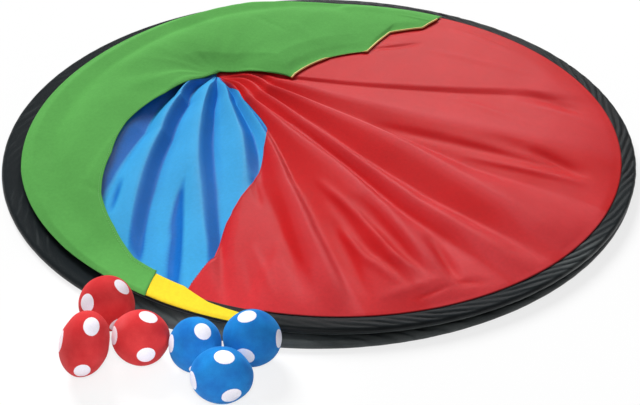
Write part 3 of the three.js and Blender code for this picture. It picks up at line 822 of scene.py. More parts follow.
# Short tucks and pockets: two ends, each as a heading and millimetres from the neck, half width, and height,
# which is below zero for a pocket
TUCKS = [
    ((-66.1, 415), (-65.7, 510), 5, 2.5), ((-65.8, 480), (-63.3, 560), 6, 2.5),
    ((-63, 310), (-61.7, 430), 5, 2.2), ((-61.8, 395), (-62.1, 525), 5, 2.5),
    ((-62.3, 490), (-60.3, 565), 6, 2.5), ((-68.6, 562), (-58.5, 566), 9, 2.4),
    ((-65.1, 580), (-54.2, 585), 5, -0.6), ((-33.6, 390), (-30.3, 575), 6, 2.0),
    ((-12.6, 330), (-19.3, 460), 7, 1.2), ((-11.6, 415), (-15.5, 550), 6, 1.2),
    ((11.5, 305), (-2.4, 455), 7, 1.4), ((14.9, 225), (14.5, 310), 5, -2.2),
    ((-95.1, 255), (-94.9, 400), 5, -2.6), ((-95, 300), (-92.4, 560), 7, -5.0),
    ((-111.7, 285), (-107.6, 370), 5, -2.2), ((-77.5, 275), (-77.6, 350), 4, -2.2),
    ((-81, 420), (-79.4, 550), 4, 1.6), ((-82.4, 440), (-82, 555), 3, -1.6),
    ((6, 440), (21.3, 362), 5, 2.0), ((-26.2, 470), (-28.8, 560), 8, -2.5),
    ((-63.4, 350), (-64.5, 500), 8, -2.6), ((-64.5, 450), (-63, 580), 8, -3.0),
    ((-59.3, 370), (-60.6, 590), 11, -5.5), ((-55.2, 485), (-58, 600), 9, -5.5),
    ((-58, 578), (-54.2, 598), 6, -5.0), ((-66, 390), (-68.8, 580), 7, -2.2),
    ((-59, 578), (-64.4, 581), 3, -4.0), ((-68.2, 300), (-71.5, 585), 7, 3.0),
    ((-33.2, 245), (-29.3, 460), 9, -2.3), ((-30.4, 370), (-28.7, 585), 8, -2.2),
    ((-74.4, 320), (-76, 560), 8, -2.6), ((-25.6, 400), (-28.2, 585), 13, -2.6),
    ((-8.6, 430), (-13.4, 550), 10, -3.0),
]


def tuck_height(points):
    total = np.zeros(len(points))
    for start, end, width, height in TUCKS:
        ends = [at_angle(NECK, heading, away * MM, 0)[:2] for heading, away in (start, end)]
        total = total + crease(points, *ends, width) * height * MM
    return total


print("tucks and pockets:", len(TUCKS))

# %% [markdown]
# ## Lap over the sleeve
# Near the rim the cloth rises onto the sleeve and laps over its sewn edge, wide on the right and narrow
# at the front, and it rolls up a little at the back. A separate strip of cloth could lie there, but then
# its seam would show, so the panel itself goes on over the edge. On the left, under the flap, it goes
# into the sleeve's slit as a sewn tab.

# %% Lap over the sleeve
# How far the cloth laps over the sleeve's sewn edge, round the upper rim's centre: degrees, millimetres
LAP_WIDTH = [(-107, 1.5), (-90, 3.5), (-72, 6), (-45, 8.5), (70, 8.5), (75, 6)]
LAP_FROM, LAP_TO = -107, 75
LAP_EASE = 3
LAP_RISES = 0.6, 1
LAP_GAP = 0.7 * MM
ROLL_HEIGHT = 2 * MM
ROLL_WIDTH = 16 * MM
ROLL_INSET = 8 * MM
ROLL_FROM = 25, 55


def lap_width(angle):
    turns, widths = np.array(LAP_WIDTH).T
    laps = (angle > LAP_FROM) & (angle < LAP_TO)
    return np.where(laps, np.interp(angle, turns, widths) * MM, SEWN_TAB)


def lap_share(angle):
    return smooth(angle, LAP_FROM, LAP_FROM + LAP_EASE) * (1 - smooth(angle, LAP_TO - LAP_EASE, LAP_TO))


def lapped(points, height, share):
    """Brings the cloth up onto the sleeve's sewn edge where it laps over it, and rolls it up at the back"""
    angle, radius = polar(points, UPPER_CENTRE)
    lap_edge = lap_width(angle) / (RIM_WIDTH / 2) - 1
    rest = UPPER_BASE + (UPPER_TOP - UPPER_BASE) / 2 * (1 + fullness(lap_edge)) + LAP_GAP
    back = smooth(angle, *ROLL_FROM)
    roll = ROLL_HEIGHT * back * np.exp(-(((radius - UPPER_CLEAR + ROLL_INSET) / ROLL_WIDTH) ** 2))
    return height + lap_share(angle) * ((rest - UPPER_SLIT) * smooth(share, *LAP_RISES) + roll)


print("lap at the front:", round(float(lap_width(np.array(-90.0))), 4), "m")

# %% [markdown]
# ## Height of the upper cloth
# One function adds all of that up: a low dome, drawn in and down at the neck with small pleats round its
# throat, and the folds, tucks and slack on it. The height could be written into each mesh as it is made,
# but a function also serves what lies on the cloth later, the flap and the stitches.

# %% Height of the upper cloth
DOME_HEIGHT = 12 * MM
DOME_POWER = 8
NECK_SPREAD = 45 * MM
NECK_TOP = NECK_CORD_TOP + 1.3 * MM
THROAT_RADIUS = 1 * MM
THROAT_DEPTH = 3.4 * MM
NECK_PLEATS = 15
PLEAT_HEIGHT = 1.5 * MM
PLEAT_SPREAD = 26 * MM
PLEAT_MEAN = 0.6
PLEAT_DRIFT = 0.8
PLEAT_DRIFT_WAVES = 3
FOLD_START = 55 * MM
FOLD_FADE_POWER = 9
RIM_CALM = 0.9, 1.0
SLACK_HEIGHT = 0.35 * MM
SLACK_SIZE = 90 * MM
GATHER_SHADE = 8 * MM
GATHER_SPREAD = 1.6 * NECK_RADIUS
HIDDEN_SEAM = 100
PAST_SEAM = 3


def from_neck(points):
    angle, distance = polar(points, NECK)
    angle = np.where(angle > HIDDEN_SEAM + PAST_SEAM, angle - 360, angle)
    edge = reach(NECK, angle, UPPER_CENTRE, UPPER_CLEAR)
    return angle, distance, edge


def upper_cloth(points):
    """Height of the upper cloth's top face, and the crest of its folds for painted highlight and shade"""
    angle, distance, edge = from_neck(points)
    share = np.clip(distance / edge, 0, 1)
    around, _ = polar(points, UPPER_CENTRE)
    lap_room = lap_share(around) * lap_width(around)
    dome = DOME_HEIGHT * (1 - np.clip(distance / (edge + lap_room), 0, 1) ** DOME_POWER)
    drop = UPPER_SLIT + DOME_HEIGHT - NECK_TOP
    drawn_in = drop * np.exp(-((np.maximum(distance - NECK_RADIUS, 0) / NECK_SPREAD) ** 2))
    throat = THROAT_DEPTH * (1 - smooth(distance, THROAT_RADIUS, NECK_RADIUS))
    turn = np.radians(angle)
    drift = PLEAT_DRIFT * np.sin(turn * PLEAT_DRIFT_WAVES)
    pleat = np.abs(np.cos(turn * NECK_PLEATS / 2 + drift)) - PLEAT_MEAN
    pleats = PLEAT_HEIGHT * pleat * np.exp(-((distance / PLEAT_SPREAD) ** 2))
    pleats = pleats * smooth(distance, 0, NECK_RADIUS)
    shown = smooth(distance, NECK_RADIUS, FOLD_START) * (1 - share**FOLD_FADE_POWER)
    fold = fold_height(angle, distance) * shown
    inside = 1 - smooth(share, *RIM_CALM)
    fold = fold + tuck_height(points) * inside
    slack = SLACK_HEIGHT * ripple(points, SLACK_SIZE, seed=3) * inside
    fold = fold + slack * smooth(distance, NECK_RADIUS, FOLD_START)
    height = UPPER_SLIT + dome - drawn_in - throat + pleats + fold
    # Painted shade where the cloth is gathered at the neck
    gathered = np.exp(-((distance / GATHER_SPREAD) ** 2))
    return lapped(points, height, share), fold + pleats - gathered * GATHER_SHADE


halfway = at_angle(NECK, -90, np.array([front_reach / 2]), 0)
print("height halfway to the front:", upper_cloth(halfway)[0].round(4))

# %% [markdown]
# ## Fan between two seams
# The red and the blue panel fan out from the neck between two seams: one swings across the front and
# wanders a little, the other is hidden under the flap. A circle cut into sectors would have straight
# seams, so a grid is bent into each fan, with most of its columns where it shows. Blue tucks under red at
# the seam.

# %% Fan between two seams
SEAM_NECK_ANGLE = -62.5
SEAM_RIM_ANGLE = -91.2
SEAM_TURN_START = 0.285
SEAM_TURN_POWER = 1.6
# How far the seam wanders from that curve: share of the way to the rim, degrees
SEAM_WANDER = [
    (0.15, 0.7), (0.24, 0), (0.3, -1.2), (0.37, -2.3), (0.48, -1.3), (0.6, -1.6), (0.7, -0.9), (0.75, 0),
    (0.8, 1.0), (0.85, 1.7), (0.92, 1.0), (1, 0),
]
SEAM_STEP = 0.8 * MM
SEAM_LENGTH = 0.45
SEAM_START = 0.02
PANEL_ROWS = 110
ROW_POWER = 1.12
FINE_ROWS_FROM = 0.8
FINE_SHARE_FROM = 0.93


def seam_angle(share):
    along = np.clip((share - SEAM_TURN_START) / (1 - SEAM_TURN_START), 0, 1)
    shares, wander = np.array(SEAM_WANDER).T
    turned = mix(SEAM_NECK_ANGLE, SEAM_RIM_ANGLE, 1 - (1 - along) ** SEAM_TURN_POWER)
    return turned + np.interp(share, shares, wander)


def panel(name, columns, hidden_angle, shown_to, shown_share, lap):
    """A fan of cloth from the front seam to the hidden one, with most columns where it shows"""

    def place(across, along):
        share = np.interp(along, [0, FINE_ROWS_FROM, 1], [0, FINE_SHARE_FROM, 1]) ** ROW_POWER
        under = lap / np.maximum(share * SEAM_LENGTH, SEAM_START)
        first = seam_angle(share) + np.degrees(under)
        angle = np.where(
            across < shown_share,
            mix(first, shown_to, across / shown_share),
            mix(shown_to, hidden_angle, (across - shown_share) / (1 - shown_share)),
        )
        at_rim = at_angle(NECK, angle, reach(NECK, angle, UPPER_CENTRE, UPPER_CLEAR), 0)
        rim_turn, _ = polar(at_rim, UPPER_CENTRE)
        edge = reach(NECK, angle, UPPER_CENTRE, UPPER_CLEAR + lap_width(rim_turn))
        spots = at_angle(NECK, angle, mix(THROAT_RADIUS, edge, share), 0)
        spots[:, 2] = upper_cloth(spots)[0]
        if lap:
            spots[:, 2] -= SEAM_STEP * (1 - smooth(across, 0, 0.05)) * smooth(share, 0.0, 0.1)
        return spots

    return grid_sheet(name, columns, PANEL_ROWS, place)


print("seam:", SEAM_NECK_ANGLE, "degrees at the neck,", SEAM_RIM_ANGLE, "at the rim")

# %% [markdown]
# ## Share of the lift, and finishing a sheet
# When the upper ring is lifted, the neck end of the cloth stays and the rim end goes up. An armature
# could do that with weights; here only each point's share of the lift is worked out, and the pieces are
# baked in place. A second helper finishes a sheet, since all five get a wall, a crest and a finish.

# %% Share of the lift, and finishing a sheet


def lift_share(points):
    """How much of the upper ring's lift a point takes: none at the neck, all at the rim"""
    _, distance, edge = from_neck(points)
    return np.clip((distance - NECK_RADIUS) / (edge - NECK_RADIUS), 0, 1)


def lift_with_rim(piece):
    """Bakes a piece of the upper cloth in place and works out its share of the lift, which is not used"""
    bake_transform(piece)
    lift_share(points_of(piece))


def finish_sheet(sheet, crest_of, slot, node):
    """Gives a sheet its wall, crest and finish, hides the solid that it replaces, and returns its area"""
    cut = area_of(sheet)
    thicken(sheet, CLOTH)
    write_attribute(sheet, "crest", crest_of(points_of(sheet)))
    dress(sheet, CLOTH_FINISH[slot])
    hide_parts(node)
    return cut


print("share of the lift halfway:", lift_share(halfway).round(3))

# %% [markdown]
# ## Red and blue panels
# These two panels are most of what is seen of the tube. The light and shade of their folds is painted into
# their colour, and painted by hand it would have to be painted again when a fold moves, so the crest comes
# from the same functions as the shape: painted sheen on red's sides that face the window and painted shade
# between them, and painted shade on blue's sides that turn away.

# %% Red and blue panels
SEAM_LAP = 4 * MM
# Heights of folds and tucks that change the crest by one, and the slopes that turn from the window
BLUE_FOLD_CREST = 18 * MM
RED_FOLD_CREST = 24 * MM
TUCK_CREST = 2.6 * MM
SLOPE_STEP = 1.1
SLOPES_TURNED = 0.02, 0.45
# Painted shade on blue's turned slopes and in the pockets, how much darker it is towards the front rim, and
# where the front begins
BLUE_TURNED = 1.1
BLUE_TUCKED = 0.9
BLUE_FORWARD = 0.25
FORWARD_FROM = 330 * MM, 480 * MM


def blue_crest(points):
    """Painted shade on slopes that fall away from the window, in pockets and at the neck, darker at the
    front
    """
    angle, distance, edge = from_neck(points)
    rise = fold_height(angle + SLOPE_STEP, distance) - fold_height(angle - SLOPE_STEP, distance)
    slope = rise / (np.radians(2 * SLOPE_STEP) * np.maximum(distance, FOLD_START))
    turned = smooth(-slope, *SLOPES_TURNED) * (1 - smooth(distance / edge, *RIM_CALM))
    tucked = np.clip(tuck_height(points) / TUCK_CREST, -1.2, 0)
    forward = smooth(distance, *FORWARD_FROM)
    folded = upper_cloth(points)[1] / BLUE_FOLD_CREST
    return folded - BLUE_TURNED * turned + BLUE_TUCKED * tucked - BLUE_FORWARD * forward


# Painted shade between the shining stripes and painted sheen on them, with painted shade instead where the
# cloth lies calm on the right
RED_DEEP = -1.1
RED_SHINE = 0.75
CALM_LOSS = 1.4
CALM_ANGLES = -24, -12
CALM_ENDS = 380 * MM, 470 * MM
# How much pockets deepen it with painted shade and tucks lighten it with painted highlight
POCKET_SHARE = 1.2
TUCK_SHARE = 0.8
# Painted shade on the roll at the back and on the brim at the right, painted sheen at the front rim
ROLL_DEEPER = 1.6
ROLL_ANGLES = 5, 30
ROLL_RADII = UPPER_CLEAR - 34 * MM, UPPER_CLEAR - 16 * MM
BRIM_DEEPER = 1.2
BRIM_ANGLES = -50, -25
BRIM_RADII = UPPER_CLEAR - 5 * MM, UPPER_CLEAR
FRONT_PALER = 1.5
FRONT_ANGLES = -40, -20
FRONT_SHARES = 0.8, 0.93


def red_crest(points):
    """Painted sheen on the stripes, tucks and front rim; painted shade between them, in pockets, neck, roll,
    brim
    """
    angle, distance, edge = from_neck(points)
    around, radius = polar(points, UPPER_CENTRE)
    calm = smooth(angle, *CALM_ANGLES) * (1 - smooth(distance, *CALM_ENDS))
    stripes = mix(RED_DEEP, RED_SHINE - CALM_LOSS * calm, fold_stripe(angle, distance))
    brim = smooth(radius, *BRIM_RADII) * smooth(around, *BRIM_ANGLES)
    front = smooth(distance / edge, *FRONT_SHARES) * (1 - smooth(angle, *FRONT_ANGLES))
    tuck = tuck_height(points) / TUCK_CREST
    tucked = np.where(tuck < 0, POCKET_SHARE, TUCK_SHARE) * tuck
    rolled = smooth(around, *ROLL_ANGLES) * smooth(radius, *ROLL_RADII)
    folded = upper_cloth(points)[1] / RED_FOLD_CREST
    return folded + stripes + tucked - ROLL_DEEPER * rolled + FRONT_PALER * front - BRIM_DEEPER * brim


for name, columns, hidden, shown_to, shown_share, lap, flat, crest_of in (
    ("red_cloth", 360, HIDDEN_SEAM, 42, 0.88, 0.0, (1.2, 0.6), red_crest),
    ("blue_cloth", 380, HIDDEN_SEAM - 360, -150, 0.7, SEAM_LAP, (0.9, 0.5), blue_crest),
):
    cloth = panel(name, columns, hidden, shown_to, shown_share, lap)
    cut = finish_sheet(cloth, crest_of, name, name.replace("cloth", "panel"))
    lift_with_rim(cloth)
    print(name, "area", round(cut, 4), "of", round(flat[0] * flat[1], 3))

# %% [markdown]
# ## Lower half of the tube
# Under the panels the tube goes on: it lies flat inside the lower rim and is drawn up to the same neck.
# It is made like the panels, from a grid that goes all the way round and is joined where its ends meet.
# When the upper ring turns, its neck end turns along and the rim end stays, so the skirt twists; here it is
# only baked in place.

# %% Lower half of the tube
SKIRT_TOP = NECK_CORD_BASE - 0.3 * MM
SKIRT_THROAT = THROAT_RADIUS / 3
SKIRT_COLUMNS = 240
SKIRT_ROWS = 60
SKIRT_ROW_POWER = 1.4
SKIRT_GATHERS = 26
SKIRT_GATHER_DEPTH = 0.9 * MM
SKIRT_GATHER_SPREAD = 70 * MM
SKIRT_SLACK = 0.6 * MM
SKIRT_SLACK_SIZE = 120 * MM
SKIRT_CALM = 0.85, 1


def skirt_ripple(points):
    return ripple(points, SKIRT_SLACK_SIZE, seed=8)


def skirt_place(across, along):
    angle = across * 360 - 180
    share = along**SKIRT_ROW_POWER
    edge = reach(NECK, angle, LOWER_CENTRE, LOWER_CLEAR + SEWN_TAB)
    distance = mix(SKIRT_THROAT, edge, share)
    clear = reach(NECK, angle, LOWER_CENTRE, LOWER_CLEAR)
    drawn = np.exp(-((np.maximum(distance - NECK_RADIUS, 0) / NECK_SPREAD) ** 2))
    gather = np.cos(np.radians(angle) * SKIRT_GATHERS) * np.exp(-((distance / SKIRT_GATHER_SPREAD) ** 2))
    slack = SKIRT_SLACK * smooth(distance, NECK_RADIUS, FOLD_START)
    slack = slack * (1 - smooth(distance / clear, *SKIRT_CALM))
    spots = at_angle(NECK, angle, distance, 0)
    low = mix(LOWER_SLIT, SKIRT_TOP, drawn)
    fold = SKIRT_GATHER_DEPTH * (gather - 1) * smooth(distance, NECK_RADIUS, 3 * NECK_RADIUS)
    spots[:, 2] = low + fold * drawn + slack * skirt_ripple(spots)
    return spots


skirt = grid_sheet("skirt_cloth", SKIRT_COLUMNS, SKIRT_ROWS, skirt_place)
edit(skirt, (bpy.ops.mesh.remove_doubles, {"threshold": 0.01 * MM}))
# The crest follows the skirt's slack, so its rises get a painted highlight and its dips painted shade
skirt_cut = finish_sheet(skirt, skirt_ripple, "yellow_cloth", "lower_skirt")
angle, distance = polar(points_of(skirt), NECK)
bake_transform(skirt)
print("skirt area", round(skirt_cut, 4))

# %% [markdown]
# ## Neck tie
# A two-ply cord draws the tube together at its neck. Two curves wound round each other could make it, but
# their ends would have to meet. A torus is closed already, and its section is pinched in two and turned
# along the way, which makes the plies.

# %% Neck tie
TIE_TWISTS = 14
PLY_WIDTH = 0.78
PLY_PINCH = 0.22
TIE_RADIUS = NECK_RADIUS + NECK_CORD_DIAMETER / 2
tie = new_primitive(
    "neck_tie", bpy.ops.mesh.primitive_torus_add, major_segments=168, minor_segments=14,
    major_radius=TIE_RADIUS, minor_radius=NECK_CORD_DIAMETER / 2,
)
spots = points_of(tie)
angle, distance = polar(spots, np.zeros(2))
off_axis = distance - TIE_RADIUS
section = np.arctan2(spots[:, 2], off_axis)
ply = PLY_WIDTH + PLY_PINCH * np.abs(np.cos(section - TIE_TWISTS / 2 * np.radians(angle)))
plied = at_angle(np.zeros(2), angle, TIE_RADIUS + off_axis * ply, spots[:, 2] * ply)
move_points(tie, plied + [*NECK, (NECK_CORD_BASE + NECK_CORD_TOP) / 2])
shade_smooth(tie)
dress(tie, thread_finish("neck_cord", colour(44, 48, 52)))
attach(tie, "neck")
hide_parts("neck_cord")
print("tie:", round(2 * math.pi * TIE_RADIUS, 4), "m round")

# %% [markdown]
# ## Edge of the flap
# The green flap lies over the upper rim on the left and at the back. Its free edge runs in a zigzag over
# the cloth, and its outer edge hangs over the rim towards the lower one. A smooth curve would lose the
# corners, so the free edge is a list of corners round the rim's centre.

# %% Edge of the flap
# Angle round the upper rim's centre, and the free edge as a share of the clear radius
FLAP_EDGE = [
    (63.6, 0.965), (65.2, 0.868), (72.9, 0.79), (76.8, 0.604), (93, 0.53), (112, 0.415), (124, 0.52),
    (133, 0.637), (147, 0.65), (158, 0.67), (176, 0.745), (191, 0.79), (206.6, 0.876), (218, 0.915),
    (228.5, 0.965), (234.6, 0.97),
]
FLAP_LAP = 2 * MM
FLAP_OVERHANG = 6 * MM
FLAP_REACH = UPPER_RADIUS + 12 * MM
FLAP_END_SLANT = 2.3


def flap_edge(angle):
    knots, shares = np.array(FLAP_EDGE).T
    return UPPER_CLEAR * np.interp(angle, knots, shares)


def flap_hanging(angle):
    """Radius of the flap's outer edge where it hangs over the rim and meets the lower one"""
    lap = reach(UPPER_CENTRE, angle, LOWER_CENTRE, LOWER_CLEAR + FLAP_LAP)
    return np.clip(lap, UPPER_RADIUS + FLAP_OVERHANG, FLAP_REACH)


def end_slant(inner, radius):
    """Degrees that the edge between the flap and the yellow strip has turned at a radius"""
    return FLAP_END_SLANT * np.clip((radius - inner) / (UPPER_RADIUS - inner), 0, 1)


print("flap edge:", len(FLAP_EDGE), "corners")

# %% [markdown]
# ## What the flap lies on
# The flap bridges the folds below it, so it follows their tops only. A Shrinkwrap modifier would press it
# into every fold, so its height comes from the highest cloth within a few degrees and from the rim,
# softly blended. It billows up at the back, where the end of its free edge settles on the red cloth.

# %% What the flap lies on
# The flap bridges this many degrees to each side, measured at this many headings, and the heights that the
# bridge and the rim are blended over
BRIDGE_ANGLE = 14
BRIDGE_HEADINGS = 29
BRIDGE_BLEND = 1.2 * MM
RIM_BLEND = 1.5 * MM
# From here to here, as shares of the way to the rim, the bridge comes to follow the rim's curve
BRIDGE_BENDS = 0.65, 0.95
FLAP_GAP = 1.9 * MM
FLAP_SETTLES = 30 * MM
FLAP_LOOSE_FROM = 108, 116
FLAP_ON_RIM = UPPER_TOP + 1.2 * MM
FLAP_ON_LOWER_RIM = LOWER_TOP + 2.4 * MM
FLAP_DROOP = 0.45
FLAP_FALLS_FROM = UPPER_RADIUS - 4 * MM
FLAP_SLACK = 0.5 * MM
FLAP_SLACK_SIZE = 150 * MM
BILLOW_HEIGHT = 8.5 * MM
BILLOW_ANGLE = 112
BILLOW_SPREAD = 26
# Slack creases: two ends in millimetres from the upper rim's centre, half width, height
FLAP_CREASES = [
    ((-300, 40), (-330, 150), 5, -0.8), ((-270, 70), (-300, 190), 6, 0.7),
    ((-265, -170), (-330, -110), 5, -0.8), ((-205, 190), (-270, 240), 7, 0.7),
    ((-60, 260), (-130, 330), 6, -0.9), ((60, 270), (40, 350), 7, 0.8),
    ((-170, -290), (-230, -250), 5, -0.6), ((-20, 230), (-60, 300), 8, 0.8),
]


def fold_tops(points):
    """Height of the highest cloth within a few degrees, which a sheet that bridges the folds lies on"""
    angle, distance, edge = from_neck(points)
    at_rim = smooth(distance / edge, *BRIDGE_BENDS)
    near = []
    for turn in np.linspace(-BRIDGE_ANGLE, BRIDGE_ANGLE, BRIDGE_HEADINGS):
        as_far_out = distance / edge * reach(NECK, angle + turn, UPPER_CENTRE, UPPER_CLEAR)
        beside = at_angle(NECK, angle + turn, mix(distance, as_far_out, at_rim), 0)
        near.append(upper_cloth(beside)[0])
    near = np.array(near)
    top = near.max(0)
    return BRIDGE_BLEND * np.log(np.mean(np.exp((near - top) / BRIDGE_BLEND), axis=0)) + top + BRIDGE_BLEND


def flap_ripple(points):
    return ripple(points, FLAP_SLACK_SIZE, seed=12)


def flap_height(points):
    angle, radius = polar(points, UPPER_CENTRE)
    angle = np.where(angle < 0, angle + 360, angle)
    rise = np.clip((radius - flap_edge(angle)) / (2 * RIM_WIDTH), 0, 1)
    billow = BILLOW_HEIGHT * rise * np.exp(-(((angle - BILLOW_ANGLE) / BILLOW_SPREAD) ** 2))
    over_cloth = fold_tops(points) + FLAP_GAP
    resting = RIM_BLEND * np.log(np.exp(over_cloth / RIM_BLEND) + np.exp(FLAP_ON_RIM / RIM_BLEND))
    slack = FLAP_SLACK * flap_ripple(points)
    for start, end, width, height in FLAP_CREASES:
        ends = [np.array(place) * MM + UPPER_CENTRE for place in (start, end)]
        slack = slack + crease(points, *ends, width) * height * MM
    fall = smooth(radius, FLAP_FALLS_FROM, flap_hanging(angle))
    slack = slack * (1 - smooth(radius, UPPER_CLEAR, UPPER_RADIUS))
    clear = np.maximum(resting + billow + slack, FLAP_ON_RIM)
    inward = FLAP_SETTLES - radius + flap_edge(angle)
    settled = smooth(inward, 0, FLAP_SETTLES) * (1 - smooth(angle, *FLAP_LOOSE_FROM))
    settled = settled * (1 - smooth(radius, UPPER_CLEAR - 2 * RIM_WIDTH, UPPER_CLEAR - RIM_WIDTH / 2))
    clear = mix(clear, upper_cloth(points)[0] + FLAP_GAP, settled)
    return mix(clear, FLAP_ON_LOWER_RIM, fall * FLAP_DROOP)


print("flap: height", round(FLAP_ON_RIM, 4), "on the upper rim, billow", BILLOW_HEIGHT)

# %% [markdown]
# ## Green flap
# The flap is one crescent of cloth, made as a grid between its two edges. A plain grid would cut the
# corners of the free edge off, so one of its columns is moved onto each corner. Its end slants, where the
# yellow strip goes on.

# %% Green flap
FLAP_COLUMNS = 300
FLAP_ROWS = 64
FLAP_SHORT_LAP = 7 * MM
FLAP_SHORT_TO = 86
FLAP_HANGS_FROM = 124
FLAP_END_SHORT = 4 * MM
FLAP_SHORTENS = 212, 232
FLAP_END_TURN = 16


def flap_place(across, along):
    knots = np.array([angle for angle, _ in FLAP_EDGE])
    stops = np.linspace(0, 1, FLAP_COLUMNS + 1)
    share = (knots - knots[0]) / (knots[-1] - knots[0])
    on_knots = stops.copy()
    for knot in share:
        on_knots[np.argmin(np.abs(stops - knot))] = knot
    angle = knots[0] + np.interp(across, stops, on_knots) * (knots[-1] - knots[0])
    hangs = smooth(angle, FLAP_SHORT_TO, FLAP_HANGS_FROM)
    outer = mix(UPPER_CLEAR + FLAP_SHORT_LAP, flap_hanging(angle), hangs)
    outer = outer - FLAP_END_SHORT * smooth(angle, *FLAP_SHORTENS)
    inner = flap_edge(angle)
    radius = mix(inner, outer, along)
    spots = at_angle(UPPER_CENTRE, angle, radius, 0)
    spots[:, 2] = flap_height(spots)
    slant = smooth(angle, knots[-1] - FLAP_END_TURN, knots[-1]) * end_slant(inner, radius)
    spots[:, :2] = at_angle(UPPER_CENTRE, angle + slant, radius, 0)[:, :2]
    return spots


flap = grid_sheet("green_cloth", FLAP_COLUMNS, FLAP_ROWS, flap_place)
# The crest follows the flap's slack, so its rises get a painted highlight and its dips painted shade
flap_cut = finish_sheet(flap, lambda points: flap_ripple(points) * 0.6, "green_cloth", "green_flap")
lift_with_rim(flap)
print("flap area", round(flap_cut, 4))

# %% [markdown]
# ## Hem of the flap
# The back stretch of the flap's edge is bound with cream cloth. A rolled hem looks like a thin round cord
# from a step away, so a curve with a round bevel follows the edge. Where the hem is turned under, it gets
# thin.

# %% Hem of the flap
HEM_RADIUS = 1.4 * MM
HEM_INSET = 0.6 * MM
HEM_END_ANGLE = 112
HEM_UNDER_FROM = 77, 79
HEM_UNDER_TO = 91, 93
HEM_UNDER_SHARE = 0.1
EDGE_STEP = 1.0


def edge_path(first, last, inward):
    """Points along the flap's free edge, with one on each corner"""
    knots = [angle for angle, _ in FLAP_EDGE if first < angle < last]
    corners = [first, *knots, last]
    angles = []
    for start, end in zip(corners, corners[1:]):
        count = max(2, math.ceil((end - start) / EDGE_STEP))
        angles.extend(np.linspace(start, end, count, endpoint=False))
    angles = np.array([*angles, last])
    spots = at_angle(UPPER_CENTRE, angles, flap_edge(angles) + inward, 0)
    spots[:, 2] = flap_height(at_angle(UPPER_CENTRE, angles, flap_edge(angles) + max(inward, 0), 0))
    return spots


def tube(name, path, radius, shares):
    """A round tube along a path, with closed ends and a share of the radius at each point"""
    curve = bpy.data.curves.new(name, "CURVE")
    curve.dimensions = "3D"
    curve.bevel_depth = radius
    curve.bevel_resolution = 3
    curve.use_fill_caps = True
    spline = curve.splines.new("POLY")
    spline.points.add(len(path) - 1)
    for point, spot, share in zip(spline.points, path, shares):
        point.co = (*spot, 1)
        point.radius = share
    line = bpy.data.objects.new(name, curve)
    scene.collection.objects.link(line)
    only(line)
    bpy.ops.object.convert(target="MESH")
    made = bpy.context.active_object
    made.name = made.data.name = name
    bpy.ops.object.shade_smooth()
    return made


hem_path = edge_path(FLAP_EDGE[0][0], HEM_END_ANGLE, -HEM_INSET)
hem_path[:, 2] += CLOTH
hem_angle, _ = polar(hem_path, UPPER_CENTRE)
turned_under = smooth(hem_angle, *HEM_UNDER_FROM) * (1 - smooth(hem_angle, *HEM_UNDER_TO))
hem = tube("hem_binding", hem_path, HEM_RADIUS, mix(1, HEM_UNDER_SHARE, turned_under))
write_attribute(hem, "crest", np.zeros(len(hem.data.vertices)))
dress(hem, CLOTH_FINISH["hem_cloth"])
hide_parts("flap_hem")
lift_with_rim(hem)
print("hem:", len(hem_path), "points")

# %% [markdown]
# ## Yellow strip
# The next panel of the flap narrows and ends on top of the upper rim. A wrap onto the sleeve would follow
# each of its lobes, and the strip is too stiff for that, so its grid lies flat on the sleeve and turns
# down over the edge.

# %% Yellow strip
# Angle round the upper rim's centre, millimetres inside the clear radius
STRIP_EDGE = [(235.2, 8), (241.5, 6), (247.6, -8), (254, -14)]
STRIP_OUTER = UPPER_RADIUS + 1 * MM
STRIP_TURNS_AT = UPPER_RADIUS - 4 * MM
STRIP_TURN = 1.6 * MM
STRIP_HEIGHT = FLAP_ON_RIM - 0.3 * MM
STRIP_SLACK = 0.25 * MM
STRIP_SLACK_SIZE = 40 * MM
STRIP_COLUMNS = 60
STRIP_ROWS = 16
STRIP_UNDER_FLAP = 0.5


def strip_ripple(points):
    return ripple(points, STRIP_SLACK_SIZE, seed=5)


def strip_place(across, along):
    knots, inset = np.array(STRIP_EDGE).T
    angle = mix(knots[0] - STRIP_UNDER_FLAP, knots[-1], across)
    inner = UPPER_CLEAR - np.interp(angle, knots, inset) * MM
    radius = mix(inner, STRIP_OUTER, along)
    slant = (1 - across) * end_slant(inner, radius)
    spots = at_angle(UPPER_CENTRE, angle + slant, radius, 0)
    down = STRIP_TURN * smooth(radius, STRIP_TURNS_AT, STRIP_OUTER)
    spots[:, 2] = STRIP_HEIGHT - down + STRIP_SLACK * strip_ripple(spots)
    return spots


strip = grid_sheet("yellow_cloth", STRIP_COLUMNS, STRIP_ROWS, strip_place)
# The crest follows the strip's slack, so its rises get a painted highlight and its dips painted shade
strip_cut = finish_sheet(strip, lambda points: strip_ripple(points) * 0.5, "yellow_cloth", "yellow_strip")
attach(strip, "upper_ring")
print("strip area", round(strip_cut, 5))

# %% [markdown]
# ## Cloth of the balls
# The balls are sewn from soft brushed cloth with large white spots. The spots could be a picture on
# unwrapped faces, but a ball has no good place for the cuts of an unwrap. So every point keeps its
# direction on the round ball in an attribute, and the finish paints six spots by it.

# %% Cloth of the balls
SPOT_ANGLE = math.radians(19)
SPOT_EDGE = 0.0025
# Each ball cloth's deep, body and highlight colour: the dye wanders at random from deep to body, and the
# highlight colour is painted on the bulges
BALL_TONES = {
    "red_ball_cloth": ((190, 38, 42), (206, 56, 58), (216, 88, 90)),
    "blue_ball_cloth": ((20, 102, 180), (26, 128, 202), (66, 156, 220)),
}


